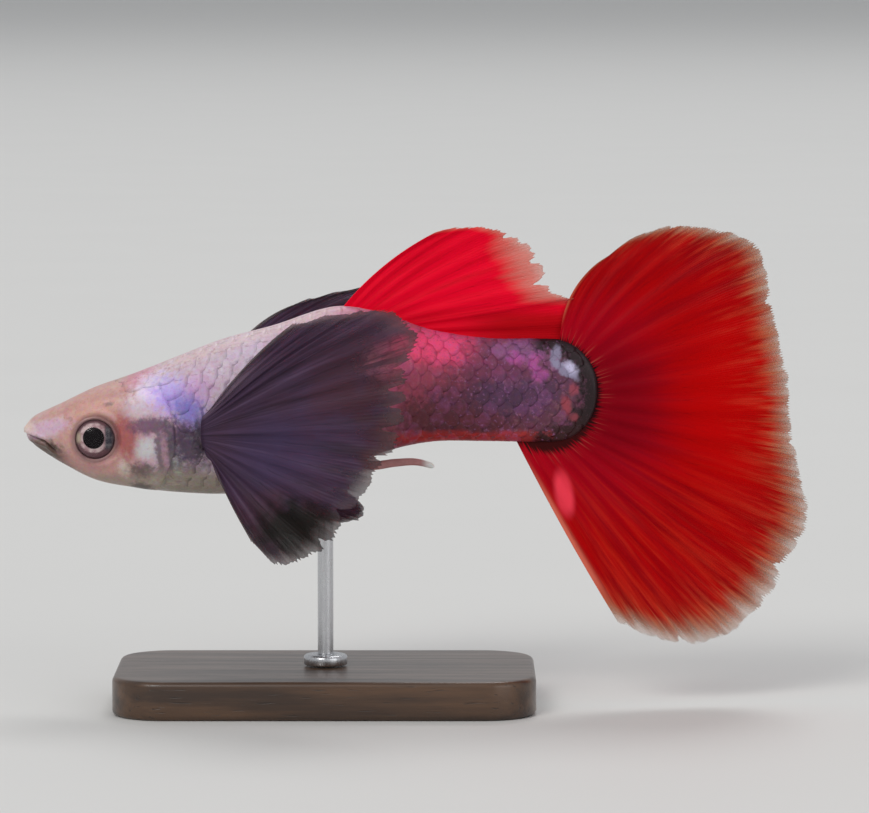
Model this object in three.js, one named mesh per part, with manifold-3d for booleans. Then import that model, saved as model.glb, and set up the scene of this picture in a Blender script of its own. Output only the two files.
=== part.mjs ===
// A fancy guppy, male, red-tailed with large ear-like pectoral fins, as a still life-size model
// on a plain display stand. Millimetres, +Z up.
// The fish heads towards -X, and its left side faces -Y. It is drawn in its own frame, with the
// snout tip at zero, and the finished group is then set down with the middle of its footprint at zero.
import * as THREE from "three";
import { mergeVertices } from "three/addons/utils/BufferGeometryUtils.js";
import Module from "manifold-3d";

const wasm = await Module();
wasm.setup();

// Driving dimensions
const cut = 0.2; // width of the thin cuts between the parts of the body
const finThickness = 0.5; // at the margin of every fin
const finRootThickness = 0.8;
const ringSides = 32; // facets round the body
const ringSpacing = 1.0; // distance between the rings of the body
const roundRings = 5; // rings in each rounded end of the body

// Body outline from the side and from above: distance behind the snout, height of the back, height
// of the belly, half the width, and how square the upper half of the section is
const bodyStations = [
  { x: 0.0, back: 0.45, belly: -0.55, half: 0.62, square: 2.6 },
  { x: 1.0, back: 0.95, belly: -1.3, half: 1.08, square: 2.7 },
  { x: 2.2, back: 1.5, belly: -2.05, half: 1.5, square: 2.7 },
  { x: 4.1, back: 2.4, belly: -3.0, half: 1.98, square: 2.6 },
  { x: 6.4, back: 3.2, belly: -3.45, half: 2.3, square: 2.4 },
  { x: 8.8, back: 4.15, belly: -3.7, half: 2.5, square: 2.2 },
  { x: 11.4, back: 5.15, belly: -3.8, half: 2.55, square: 2.1 },
  { x: 14.2, back: 5.9, belly: -3.55, half: 2.42, square: 2.05 },
  { x: 17.8, back: 7.0, belly: -2.5, half: 2.05, square: 2.0 },
  { x: 20.4, back: 6.65, belly: -1.45, half: 1.7, square: 2.0 },
  { x: 23.2, back: 5.7, belly: -0.82, half: 1.4, square: 2.0 },
  { x: 26.4, back: 5.2, belly: -0.78, half: 1.2, square: 2.0 },
  { x: 29.4, back: 5.15, belly: -0.84, half: 0.95, square: 2.0 },
  { x: 31.2, back: 5.1, belly: -0.82, half: 0.62, square: 2.0 },
  { x: 32.8, back: 5.0, belly: -0.8, half: 0.4, square: 2.0 },
];
const bodyLength = bodyStations.at(-1).x;
const snoutRound = 0.75; // the blunt end of the snout, along the body
const snoutHeight = -0.1;
const tailRound = 2.5; // the rounded end of the tail stem, along the body
const tailEndHeight = 2.2;
const tailEdgeRound = 0.3;
const widestLevel = 0.5; // share of the depth at which a section is widest

// Eye, mouth and gill cover
const eyeAt = { x: 4.15, y: 1.34, z: -0.5 };
const eyeRadius = 1.2;
const eyeDepth = 0.8; // half the thickness of the eyeball, across the head
const mouthCorner = { x: 1.75, z: -0.92 };
const jawHinge = { x: 2.35, z: -2.3 };
const mouthTip = { x: -0.6, z: 0.18 };
const gillTop = { x: 7.3, z: 6 };
const gillBack = { x: 10.6, z: -0.4 }; // the corner that draws the rear edge of the gill cover back
const gillThroat = { x: 6.2, z: -5 };
const tailStemStart = 22.4;

// Display stand
const standAt = 17.2; // where the rod stands, behind the snout
const rodRadius = 0.45;
const cupRadius = 0.95;
const cupDepth = 0.6; // from the foot of the cup up to the belly
const baseTop = -13.7;
const baseThickness = 2.2;
const baseLength = 24;
const baseWidth = 14;
const baseCorner = 3;
const baseBevel = 0.3;
const collarRadius = 1.25;
const collarHeight = 0.6;
const seatGap = 0.1; // between the pieces of the stand

// A smooth curve through named stations, as a function of x
function along(stations, name) {
  const last = stations.length - 1;
  const slope = (i) => {
    const a = stations[Math.max(i - 1, 0)];
    const b = stations[Math.min(i + 1, last)];
    return (b[name] - a[name]) / (b.x - a.x);
  };
  return (x) => {
    let i = 0;
    while (i < last - 1 && x > stations[i + 1].x) i += 1;
    const a = stations[i];
    const b = stations[i + 1];
    const span = b.x - a.x;
    const t = THREE.MathUtils.clamp((x - a.x) / span, 0, 1);
    const ease = 3 * t ** 2 - 2 * t ** 3;
    const leaving = (t ** 3 - 2 * t ** 2 + t) * span * slope(i);
    const arriving = (t ** 3 - t ** 2) * span * slope(i + 1);
    return THREE.MathUtils.lerp(a[name], b[name], ease) + leaving + arriving;
  };
}

// How far a rounded end has opened, from 0 at the end to 1 where the round stops
function roundEnd(distance, length) {
  const t = THREE.MathUtils.clamp(1 - distance / length, 0, 1);
  return Math.sqrt(1 - t * t);
}

const backLine = along(bodyStations, "back");
const bellyLine = along(bodyStations, "belly");
const halfWidth = along(bodyStations, "half");
const squareness = along(bodyStations, "square");

function backAt(x) {
  const snout = THREE.MathUtils.lerp(snoutHeight, backLine(x), roundEnd(x, snoutRound));
  return THREE.MathUtils.lerp(tailEndHeight, snout, roundEnd(bodyLength - x, tailRound));
}

function bellyAt(x) {
  const snout = THREE.MathUtils.lerp(snoutHeight, bellyLine(x), roundEnd(x, snoutRound));
  return THREE.MathUtils.lerp(tailEndHeight, snout, roundEnd(bodyLength - x, tailRound));
}

function halfAt(x) {
  return halfWidth(x) * roundEnd(x, snoutRound) * roundEnd(bodyLength - x, tailEdgeRound);
}

// A point on the body at distance x, angle 0 on the far side and a quarter turn at the back
function bodyPoint(x, angle) {
  const level = THREE.MathUtils.lerp(bellyAt(x), backAt(x), widestLevel);
  const reach = Math.sin(angle) > 0 ? backAt(x) - level : level - bellyAt(x);
  const power = 2 / (Math.sin(angle) > 0 ? squareness(x) : 2);
  const across = Math.sign(Math.cos(angle)) * Math.abs(Math.cos(angle)) ** power;
  const up = Math.sign(Math.sin(angle)) * Math.abs(Math.sin(angle)) ** power;
  return new THREE.Vector3(x, halfAt(x) * across, level + reach * up);
}

// Half the width of the body at distance x and height z
function sideAt(x, z) {
  const level = THREE.MathUtils.lerp(bellyAt(x), backAt(x), widestLevel);
  const reach = z > level ? backAt(x) - level : level - bellyAt(x);
  const square = z > level ? squareness(x) : 2;
  const up = Math.min(Math.abs(z - level) / reach, 1);
  return halfAt(x) * (1 - up ** square) ** (1 / square);
}

// A closed solid from rings of points, each end drawn together at its middle
function loft(rings) {
  const sides = rings[0].length;
  const points = rings.flat();
  const faces = [];
  const quad = (a, b, c, d) => faces.push(a, b, c, a, c, d);
  for (let r = 0; r < rings.length - 1; r += 1)
    for (let s = 0; s < sides; s += 1) {
      const next = (s + 1) % sides;
      quad(r * sides + s, r * sides + next, (r + 1) * sides + next, (r + 1) * sides + s);
    }
  for (const [ring, turned] of [
    [0, true],
    [rings.length - 1, false],
  ]) {
    const middle = rings[ring].reduce((sum, p) => sum.add(p), new THREE.Vector3()).divideScalar(sides);
    points.push(middle);
    for (let s = 0; s < sides; s += 1) {
      const edge = [ring * sides + s, ring * sides + ((s + 1) % sides)];
      if (turned) edge.reverse();
      faces.push(points.length - 1, edge[0], edge[1]);
    }
  }
  return meshGeometry(points, faces);
}

function meshGeometry(points, faces) {
  const geometry = new THREE.BufferGeometry();
  const numbers = points.flatMap((p) => p.toArray());
  geometry.setAttribute("position", new THREE.Float32BufferAttribute(numbers, 3));
  geometry.setIndex(faces);
  return geometry;
}

// The whole body as one solid: rings closer together at the snout and at the end of the tail stem
function bodyGeometry() {
  const openingShare = (i) => 1 - Math.cos(((i + 0.5) / roundRings) * (Math.PI / 2));
  const opening = (length) => Array.from({ length: roundRings }, (_, i) => length * openingShare(i));
  const straight = bodyLength - snoutRound - tailRound;
  const count = Math.round(straight / ringSpacing);
  const distances = [
    ...opening(snoutRound),
    ...Array.from({ length: count + 1 }, (_, i) => snoutRound + (straight * i) / count),
    ...opening(tailRound)
      .map((d) => bodyLength - d)
      .reverse(),
  ];
  const rings = distances.map((x) =>
    Array.from({ length: ringSides }, (_, s) => bodyPoint(x, (2 * Math.PI * s) / ringSides)),
  );
  return loft(rings);
}

// Cuts and joins
function solid(geometry) {
  const bare = geometry.index ? geometry.toNonIndexed() : geometry.clone();
  bare.deleteAttribute("normal");
  bare.deleteAttribute("uv");
  const merged = mergeVertices(bare, 1e-4);
  const made = new wasm.Manifold(
    new wasm.Mesh({
      numProp: 3,
      vertProperties: merged.attributes.position.array,
      triVerts: new Uint32Array(merged.index.array),
    }),
  );
  return made;
}

function geometryOf(made) {
  const mesh = made.getMesh();
  const geometry = new THREE.BufferGeometry();
  geometry.setAttribute("position", new THREE.BufferAttribute(mesh.vertProperties, 3));
  geometry.setIndex(new THREE.BufferAttribute(mesh.triVerts, 1));
  return geometry;
}

// A region of the side view, run right through the body from side to side
function slab(shape) {
  const through = 20;
  const options = { depth: through, bevelEnabled: false, curveSegments: 9 };
  const geometry = new THREE.ExtrudeGeometry(shape, options);
  geometry.rotateX(Math.PI / 2);
  geometry.translate(0, through / 2, 0);
  return solid(geometry);
}

// All that lies in front of the rear edge of the gill cover, moved back by a distance
function headRegion(shift) {
  const shape = new THREE.Shape();
  const front = -5;
  shape.moveTo(front, gillTop.z);
  shape.lineTo(gillTop.x + shift, gillTop.z);
  shape.quadraticCurveTo(gillBack.x + shift, gillBack.z, gillThroat.x + shift, gillThroat.z);
  shape.lineTo(front, gillThroat.z);
  return slab(shape);
}

// The lower jaw's share of the head, grown all round by a distance
function jawRegion(grow) {
  const below = -6;
  const shape = new THREE.Shape();
  shape.moveTo(mouthTip.x, mouthTip.z + grow);
  shape.lineTo(mouthCorner.x + grow, mouthCorner.z + grow);
  shape.lineTo(jawHinge.x + grow, jawHinge.z);
  shape.lineTo(jawHinge.x + grow, below);
  shape.lineTo(mouthTip.x, below);
  return slab(shape);
}

function frontOf(x) {
  const shape = new THREE.Shape();
  const reach = 20;
  shape.moveTo(-reach, -reach);
  shape.lineTo(x, -reach);
  shape.lineTo(x, reach);
  shape.lineTo(-reach, reach);
  return slab(shape);
}

// An eyeball, a little flatter across the head than it is wide
function eyeGeometry(side, grow) {
  const ball = new THREE.SphereGeometry(1, 20, 12);
  ball.scale(eyeRadius + grow, eyeDepth + grow, eyeRadius + grow);
  ball.translate(eyeAt.x, side * eyeAt.y, eyeAt.z);
  return ball;
}

// A fin: a sheet between a root line and a margin, ruled by bowed rays, with a thickness of its own.
// shape.root and shape.margin are curves, shape.bow gives each ray's sideways bend as a share of its
// length, and shape.spread moves a point out of the plane of the fin.
function finGeometry(shape) {
  const { across, out } = shape;
  const grid = [];
  for (let i = 0; i <= across; i += 1)
    for (let j = 0; j <= out; j += 1) grid.push(finPoint(shape, i / across, j / out));
  const at = (i, j) => grid[i * (out + 1) + j];
  const points = [];
  for (const side of [1, -1])
    for (let i = 0; i <= across; i += 1)
      for (let j = 0; j <= out; j += 1) {
        const alongRoot = at(Math.min(i + 1, across), j).clone().sub(at(Math.max(i - 1, 0), j));
        const alongRay = at(i, Math.min(j + 1, out)).clone().sub(at(i, Math.max(j - 1, 0)));
        const normal = alongRoot.cross(alongRay).normalize();
        const half = THREE.MathUtils.lerp(finRootThickness, finThickness, j / out) / 2;
        points.push(at(i, j).clone().addScaledVector(normal, side * half));
      }
  return meshGeometry(points, sheetFaces(across, out));
}

// The faces of a closed sheet whose two sides are grids of the same size
function sheetFaces(across, out) {
  const sheet = (across + 1) * (out + 1);
  const top = (i, j) => i * (out + 1) + j;
  const under = (i, j) => sheet + top(i, j);
  const faces = [];
  const quad = (a, b, c, d) => faces.push(a, b, c, a, c, d);
  for (let i = 0; i < across; i += 1)
    for (let j = 0; j < out; j += 1) {
      quad(top(i, j), top(i + 1, j), top(i + 1, j + 1), top(i, j + 1));
      quad(under(i, j), under(i, j + 1), under(i + 1, j + 1), under(i + 1, j));
    }
  for (let i = 0; i < across; i += 1) {
    quad(top(i + 1, 0), top(i, 0), under(i, 0), under(i + 1, 0));
    quad(top(i, out), top(i + 1, out), under(i + 1, out), under(i, out));
  }
  for (let j = 0; j < out; j += 1) {
    quad(top(0, j), top(0, j + 1), under(0, j + 1), under(0, j));
    quad(top(across, j + 1), top(across, j), under(across, j), under(across, j + 1));
  }
  return faces;
}

function finPoint(shape, u, v) {
  const start = shape.root.getPoint(u);
  const end = shape.margin.getPointAt(u);
  const ray = end.clone().sub(start);
  const sideways = new THREE.Vector3(-ray.z, 0, ray.x).multiplyScalar(shape.bow(u));
  const bend = start.clone().lerp(end, 0.5).add(sideways);
  const point = new THREE.QuadraticBezierCurve3(start, bend, end).getPoint(v);
  point.y += shape.spread(u, v);
  return point;
}

// A curve in the side view through points given as distance behind the snout and height
function sideCurve(points, depth = () => 0) {
  return new THREE.CatmullRomCurve3(
    points.map(([x, z]) => new THREE.Vector3(x, depth(x, z), z)),
    false,
    "centripetal",
  );
}

// Dorsal fin: a short root on the back, a high front ray and long rear rays that trail over the stem
function dorsalFin() {
  const rootGap = 0.25;
  const frontBow = 0.12;
  const lean = 0.3;
  const leanStart = -0.1;
  const root = [17.9, 19.4, 21.0, 22.6];
  const margin = [
    [23.7, 11.3],
    [26.2, 11.6],
    [28.4, 10.7],
    [30.0, 9.9],
    [29.7, 8.8],
    [30.95, 7.6],
    [30.8, 6.0],
  ];
  return finGeometry({
    root: sideCurve(root.map((x) => [x, backAt(x) + rootGap])),
    margin: sideCurve(margin),
    bow: (u) => frontBow * (1 - u),
    spread: (u, v) => lean * v * Math.sin(2 * Math.PI * (u + leanStart)),
    across: 16,
    out: 8,
  });
}

// Tail fin: a broad fan round the end of the tail stem, in two gentle folds
function caudalFin() {
  const upperBow = 0.26;
  const lowerBow = -0.02;
  const bowReach = 0.4;
  const fold = 0.75;
  const folds = 1.5;
  const foldStart = 0.15;
  const root = [
    [31.45, 5.35],
    [32.65, 4.3],
    [33.15, 2.2],
    [32.6, -0.3],
    [30.8, -1.15],
    [28.3, -1.15],
  ];
  const margin = [
    [33.0, 9.6],
    [34.6, 10.7],
    [37.2, 11.6],
    [40.0, 11.4],
    [42.1, 10.5],
    [42.9, 7.4],
    [43.7, 3.0],
    [44.2, -1.2],
    [45.0, -5.4],
    [43.2, -9.4],
    [40.8, -12.1],
    [37.6, -12.6],
    [34.3, -11.4],
  ];
  return finGeometry({
    root: sideCurve(root),
    margin: sideCurve(margin),
    bow: (u) => THREE.MathUtils.lerp(upperBow, lowerBow, Math.min(u / bowReach, 1)),
    spread: (u, v) => fold * v * v * Math.sin(2 * Math.PI * (folds * u + foldStart)),
    across: 30,
    out: 8,
  });
}

// Pectoral fin: a wide fan from a short root behind the gill cover, flared out to the side.
// side is -1 for the left, lift turns the fan up about its root, and leadingBow bends its front ray.
function pectoralFin(side, lift, leadingBow) {
  const rootGap = 0.45;
  const lowerBow = -0.04;
  const flare = 5.2;
  const flareEase = 1.6;
  const edgeFlare = 0.72;
  const flareAcross = (u) => THREE.MathUtils.lerp(edgeFlare, 1, Math.sin(Math.PI * u));
  const root = [
    [10.45, 0.85],
    [10.3, 0.2],
    [10.35, -0.5],
    [10.6, -1.15],
  ];
  const margin = [
    [15.6, 6.5],
    [18.6, 7.2],
    [22.0, 7.2],
    [22.3, 4.6],
    [22.2, 1.9],
    [22.4, -0.6],
    [20.6, -2.0],
    [18.6, -4.6],
    [17.3, -6.3],
    [14.9, -7.0],
    [13.4, -5.5],
  ];
  const geometry = finGeometry({
    root: sideCurve(root, (x, z) => -sideAt(x, z) - rootGap),
    margin: sideCurve(margin, () => -halfAt(root[1][0]) - rootGap),
    bow: (u) => THREE.MathUtils.lerp(leadingBow, lowerBow, u),
    spread: (u, v) => -flare * (1 - (1 - v) ** flareEase) * flareAcross(u),
    across: 22,
    out: 7,
  });
  const [hingeX, hingeZ] = root[1];
  geometry.translate(-hingeX, 0, -hingeZ);
  geometry.rotateY(-lift);
  geometry.translate(hingeX, 0, hingeZ);
  return side < 0 ? geometry : mirrored(geometry);
}

// The other side's copy, with its faces turned back outwards
function mirrored(geometry) {
  geometry.scale(1, -1, 1);
  const faces = geometry.index.array;
  for (let i = 0; i < faces.length; i += 3) [faces[i + 1], faces[i + 2]] = [faces[i + 2], faces[i + 1]];
  return geometry;
}

// Pelvic fin: small, pointed, trailing back under the belly
function pelvicFin(side) {
  const rootSide = 0.75;
  const rootGap = 0.5;
  const bend = -0.08;
  const flare = 0.7;
  const root = [14.7, 15.1, 15.5, 15.9];
  const margin = [
    [16.4, -5.1],
    [18.6, -5.3],
    [19.6, -4.9],
    [19.0, -4.1],
    [17.9, -3.5],
  ];
  const rootLine = root.map((x) => [x, bellyAt(x) - rootGap]);
  const geometry = finGeometry({
    root: sideCurve(rootLine, () => -rootSide),
    margin: sideCurve(margin, () => -rootSide),
    bow: () => bend,
    spread: (u, v) => -flare * v,
    across: 8,
    out: 5,
  });
  return side < 0 ? geometry : mirrored(geometry);
}

// Gonopodium, the male's rod-like anal fin: a slender tapering rod that trails from the belly
function gonopodium() {
  const steps = 8;
  const sides = 10;
  const rootDepth = 0.4;
  const tipDepth = 0.25;
  const widthShare = 0.7;
  const line = sideCurve([
    [19.4, -2.6],
    [20.6, -2.35],
    [22.0, -2.1],
    [23.5, -2.2],
  ]);
  const rings = Array.from({ length: steps + 1 }, (_, i) => {
    const middle = line.getPoint(i / steps);
    const depth = THREE.MathUtils.lerp(rootDepth, tipDepth, i / steps);
    return Array.from({ length: sides }, (_, s) => {
      const angle = (2 * Math.PI * s) / sides;
      const across = widthShare * depth * Math.cos(angle);
      return middle.clone().add(new THREE.Vector3(0, across, depth * Math.sin(angle)));
    });
  });
  return loft(rings);
}

// Stand pieces
function standBase() {
  const shape = new THREE.Shape();
  const x = baseLength / 2 - baseBevel;
  const y = baseWidth / 2 - baseBevel;
  const r = baseCorner;
  shape.moveTo(-x + r, -y);
  shape.absarc(x - r, -y + r, r, -Math.PI / 2, 0);
  shape.absarc(x - r, y - r, r, 0, Math.PI / 2);
  shape.absarc(-x + r, y - r, r, Math.PI / 2, Math.PI);
  shape.absarc(-x + r, -y + r, r, Math.PI, (3 * Math.PI) / 2);
  const geometry = new THREE.ExtrudeGeometry(shape, {
    depth: baseThickness - 2 * baseBevel,
    bevelThickness: baseBevel,
    bevelSize: baseBevel,
    bevelSegments: 1,
    curveSegments: 5,
  });
  geometry.translate(standAt, 0, baseTop - baseThickness + baseBevel);
  return geometry;
}

function turned(profile, segments = 20) {
  const geometry = new THREE.LatheGeometry(
    profile.map(([r, z]) => new THREE.Vector2(r, z)),
    segments,
  );
  geometry.rotateX(Math.PI / 2);
  return geometry;
}

function standCollar() {
  const bore = rodRadius + seatGap;
  const chamfer = 0.15;
  const bottom = baseTop + seatGap;
  const top = bottom + collarHeight;
  const geometry = turned([
    [bore, bottom],
    [collarRadius, bottom],
    [collarRadius, top - chamfer],
    [collarRadius - chamfer, top],
    [bore, top],
    [bore, bottom],
  ]);
  geometry.translate(standAt, 0, 0);
  return geometry;
}

function standRod() {
  const bottom = baseTop + seatGap;
  const top = bellyAt(standAt) - cupDepth - seatGap;
  const geometry = new THREE.CylinderGeometry(rodRadius, rodRadius, top - bottom, 20);
  geometry.rotateX(Math.PI / 2);
  geometry.translate(standAt, 0, (top + bottom) / 2);
  return geometry;
}

// A small cup on the rod, before it is hollowed to the shape of the belly
function standCup() {
  const bottom = bellyAt(standAt) - cupDepth;
  const flareTop = bottom + 0.6;
  const top = bottom + 1.6;
  const geometry = turned([
    [0, bottom],
    [rodRadius, bottom],
    [cupRadius, flareTop],
    [cupRadius, top],
    [0, top],
  ]);
  geometry.translate(standAt, 0, 0);
  return geometry;
}

// Body parts, parted by the thin cuts
const wholeBody = solid(bodyGeometry());
const sockets = solid(eyeGeometry(-1, cut)).add(solid(eyeGeometry(1, cut)));
const headAndJaw = wholeBody.intersect(headRegion(0)).subtract(sockets);
const head = headAndJaw.subtract(jawRegion(cut));
const lowerJaw = headAndJaw.intersect(jawRegion(0));
const trunk = wholeBody.subtract(headRegion(cut)).intersect(frontOf(tailStemStart));
const tailStem = wholeBody.subtract(frontOf(tailStemStart + cut));
const loweredBody = solid(bodyGeometry().translate(0, 0, -seatGap));
const cup = solid(standCup()).subtract(loweredBody).subtract(wholeBody);

const finRed = { color: 0xc4141a, roughness: 0.5, metalness: 0 };
const finDark = { color: 0x2b2233, roughness: 0.55, metalness: 0 };
const nearFan = { lift: 0, bow: 0.09 };
const farFan = { lift: THREE.MathUtils.degToRad(4), bow: 0.2 };
const parts = [
  ["head", geometryOf(head), { color: 0xb98f88, roughness: 0.35, metalness: 0 }],
  ["lower_jaw", geometryOf(lowerJaw), { color: 0xa58d80, roughness: 0.35, metalness: 0 }],
  ["trunk", geometryOf(trunk), { color: 0xa793b8, roughness: 0.35, metalness: 0 }],
  ["tail_stem", geometryOf(tailStem), { color: 0x8a3a62, roughness: 0.35, metalness: 0 }],
  ["eye_left", eyeGeometry(-1, 0), { color: 0x1d1418, roughness: 0.1, metalness: 0 }],
  ["eye_right", eyeGeometry(1, 0), { color: 0x1d1418, roughness: 0.1, metalness: 0 }],
  ["dorsal_fin", dorsalFin(), finRed],
  ["caudal_fin", caudalFin(), finRed],
  ["pectoral_fin_left", pectoralFin(-1, nearFan.lift, nearFan.bow), finDark],
  ["pectoral_fin_right", pectoralFin(1, farFan.lift, farFan.bow), finDark],
  ["pelvic_fin_left", pelvicFin(-1), finDark],
  ["pelvic_fin_right", pelvicFin(1), finDark],
  ["gonopodium", gonopodium(), { color: 0xc98a8a, roughness: 0.45, metalness: 0 }],
  ["stand_base", standBase(), { color: 0x3a2a20, roughness: 0.5, metalness: 0 }],
  ["stand_collar", standCollar(), { color: 0xb8bbbf, roughness: 0.3, metalness: 1 }],
  ["stand_rod", standRod(), { color: 0xb8bbbf, roughness: 0.3, metalness: 1 }],
  ["stand_cup", geometryOf(cup), { color: 0xb8bbbf, roughness: 0.3, metalness: 1 }],
];

const group = new THREE.Group();
for (const [name, geometry, look] of parts) {
  const mesh = new THREE.Mesh(geometry, new THREE.MeshStandardMaterial(look));
  mesh.name = name;
  group.add(mesh);
}

// Set down: the lowest face on the floor, and the middle of the footprint over zero
const box = new THREE.Box3().setFromObject(group);
const middle = box.getCenter(new THREE.Vector3());
group.position.set(-middle.x, -middle.y, -box.min.z);

export default group;
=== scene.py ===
"""The looks of a male fancy guppy on its display stand: skin, scales, eyes, fins, stand and stage."""

import math

import bpy
import numpy as np
from bpy.props import FloatProperty, FloatVectorProperty, IntProperty, PointerProperty
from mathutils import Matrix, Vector


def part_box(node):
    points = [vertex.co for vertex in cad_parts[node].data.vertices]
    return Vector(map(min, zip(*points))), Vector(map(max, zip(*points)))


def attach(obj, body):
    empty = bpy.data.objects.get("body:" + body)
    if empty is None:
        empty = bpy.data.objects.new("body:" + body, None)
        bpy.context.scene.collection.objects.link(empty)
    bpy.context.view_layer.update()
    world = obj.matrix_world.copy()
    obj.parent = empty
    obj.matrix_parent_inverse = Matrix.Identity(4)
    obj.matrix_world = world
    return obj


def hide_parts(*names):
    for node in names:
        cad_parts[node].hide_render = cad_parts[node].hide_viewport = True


bl_info = {
    "name": "Fancy Guppy Looks",
    "version": (1, 0, 0),
    "blender": (4, 5, 0),
    "location": "View3D > Sidebar > Guppy",
    "description": "Builds the skin, scales, eyes, fins and stand of a life-size guppy",
    "category": "Object",
}

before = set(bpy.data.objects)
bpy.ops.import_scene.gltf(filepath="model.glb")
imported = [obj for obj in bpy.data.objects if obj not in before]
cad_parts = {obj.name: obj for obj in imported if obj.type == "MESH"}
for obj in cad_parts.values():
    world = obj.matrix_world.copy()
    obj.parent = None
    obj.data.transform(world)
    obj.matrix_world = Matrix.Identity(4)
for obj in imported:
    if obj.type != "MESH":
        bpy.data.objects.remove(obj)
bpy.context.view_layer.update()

# The fish is drawn in millimetres behind and above its snout tip; the eye's solid says where that is
MM = 0.001
EYE = np.array([4.15, 1.34, -0.5])
EYE_RADIUS = 1.2
eye_low, eye_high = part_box("eye_right")
SNOUT = (eye_low + eye_high) / 2 - Vector(EYE) * MM
SEED = 7

# Body outline, as in the solids: distance behind the snout, back, belly, half width, squareness
STATIONS = np.array([
    (0.0, 0.45, -0.55, 0.62, 2.6),
    (1.0, 0.95, -1.3, 1.08, 2.7),
    (2.2, 1.5, -2.05, 1.5, 2.7),
    (4.1, 2.4, -3.0, 1.98, 2.6),
    (6.4, 3.2, -3.45, 2.3, 2.4),
    (8.8, 4.15, -3.7, 2.5, 2.2),
    (11.4, 5.15, -3.8, 2.55, 2.1),
    (14.2, 5.9, -3.55, 2.42, 2.05),
    (17.8, 7.0, -2.5, 2.05, 2.0),
    (20.4, 6.65, -1.45, 1.7, 2.0),
    (23.2, 5.7, -0.82, 1.4, 2.0),
    (26.4, 5.2, -0.78, 1.2, 2.0),
    (29.4, 5.15, -0.84, 0.95, 2.0),
    (31.2, 5.1, -0.82, 0.62, 2.0),
    (32.8, 5.0, -0.8, 0.4, 2.0),
])
BODY_LENGTH = STATIONS[-1, 0]
SNOUT_ROUND = 0.75
SNOUT_HEIGHT = -0.1
TAIL_ROUND = 2.5
TAIL_HEIGHT = 2.2
TAIL_EDGE = 0.3


def smooth(value, low, high):
    """0 below low, 1 above high, eased between."""
    t = np.clip((value - low) / (high - low), 0.0, 1.0)
    return t * t * (3.0 - 2.0 * t)


def bell(value, width):
    return np.exp(-((value / width) ** 2))


def station_curve(column):
    """A smooth curve through one column of the stations, as a function of the distance."""
    x, y = STATIONS[:, 0], STATIONS[:, column]
    ends = np.arange(len(x))
    before, after = np.maximum(ends - 1, 0), np.minimum(ends + 1, len(x) - 1)
    slope = (y[after] - y[before]) / (x[after] - x[before])

    def value(at):
        i = np.clip(np.searchsorted(x, at, side="right") - 1, 0, len(x) - 2)
        span = x[i + 1] - x[i]
        t = np.clip((at - x[i]) / span, 0.0, 1.0)
        ease = 3 * t**2 - 2 * t**3
        leaving = (t**3 - 2 * t**2 + t) * span * slope[i]
        arriving = (t**3 - t**2) * span * slope[i + 1]
        return y[i] * (1 - ease) + y[i + 1] * ease + leaving + arriving

    return value


def round_end(distance, length):
    t = np.clip(1.0 - distance / length, 0.0, 1.0)
    return np.sqrt(np.maximum(1.0 - t * t, 0.0))


back_line, belly_line, half_line, square_line = (station_curve(c) for c in range(1, 5))


def closed(line, x):
    """An upper or lower outline drawn together at the snout and at the end of the tail stem."""
    front = SNOUT_HEIGHT + (line(x) - SNOUT_HEIGHT) * round_end(x, SNOUT_ROUND)
    return TAIL_HEIGHT + (front - TAIL_HEIGHT) * round_end(BODY_LENGTH - x, TAIL_ROUND)


def back_at(x):
    return closed(back_line, x)


def belly_at(x):
    return closed(belly_line, x)


def half_at(x):
    return half_line(x) * round_end(x, SNOUT_ROUND) * round_end(BODY_LENGTH - x, TAIL_EDGE)


def side_at(x, z):
    """Half the width of the body at a distance and a height."""
    level = (back_at(x) + belly_at(x)) / 2
    reach = np.where(z > level, back_at(x) - level, level - belly_at(x))
    square = np.where(z > level, square_line(x), 2.0)
    up = np.minimum(np.abs(z - level) / reach, 1.0)
    return half_at(x) * (1 - up**square) ** (1 / square)


# Meshes
def to_frame(points):
    """Fish millimetres to the frame's metres."""
    return np.asarray(points, float) * MM + np.array(SNOUT)


def to_fish(points):
    """The frame's metres to fish millimetres."""
    return (np.asarray(points, float) - np.array(SNOUT)) / MM


def turns(sides):
    """Angles evenly round a circle."""
    return 2 * np.pi * np.arange(sides) / sides


def show(name, data):
    """Adds an object with this data to the scene."""
    piece = bpy.data.objects.new(name, data)
    bpy.context.scene.collection.objects.link(piece)
    return piece


def new_object(name, points, faces):
    mesh = bpy.data.meshes.new(name)
    mesh.from_pydata(to_frame(points).tolist(), [], [tuple(f) for f in faces])
    mesh.polygons.foreach_set("use_smooth", [True] * len(mesh.polygons))
    mesh.update()
    return show(name, mesh)


def store(piece, name, values):
    """A vector attribute on the points of a piece."""
    layer = piece.data.attributes.new(name, "FLOAT_VECTOR", "POINT")
    layer.data.foreach_set("vector", np.asarray(values, np.float32).ravel())


def grid_faces(rows, columns, start=0, turned=False):
    i, j = np.meshgrid(np.arange(rows - 1), np.arange(columns - 1), indexing="ij")
    a = start + (i * columns + j).ravel()
    quads = np.stack([a, a + columns, a + columns + 1, a + 1], 1)
    return quads[:, ::-1] if turned else quads


def closed_sheet(name, top, under):
    """A thin closed piece from two grids of points of the same size."""
    rows, columns = top.shape[:2]
    count = rows * columns
    index = np.arange(count).reshape(rows, columns)
    border = np.concatenate([index[0, :-1], index[:-1, -1], index[-1, :0:-1], index[:0:-1, 0]])
    after = np.roll(border, -1)
    wall = np.stack([border, after, after + count, border + count], 1)
    faces = [grid_faces(rows, columns), grid_faces(rows, columns, count, turned=True), wall]
    points = np.concatenate([top.reshape(-1, 3), under.reshape(-1, 3)])
    return new_object(name, points, np.concatenate(faces))


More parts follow.
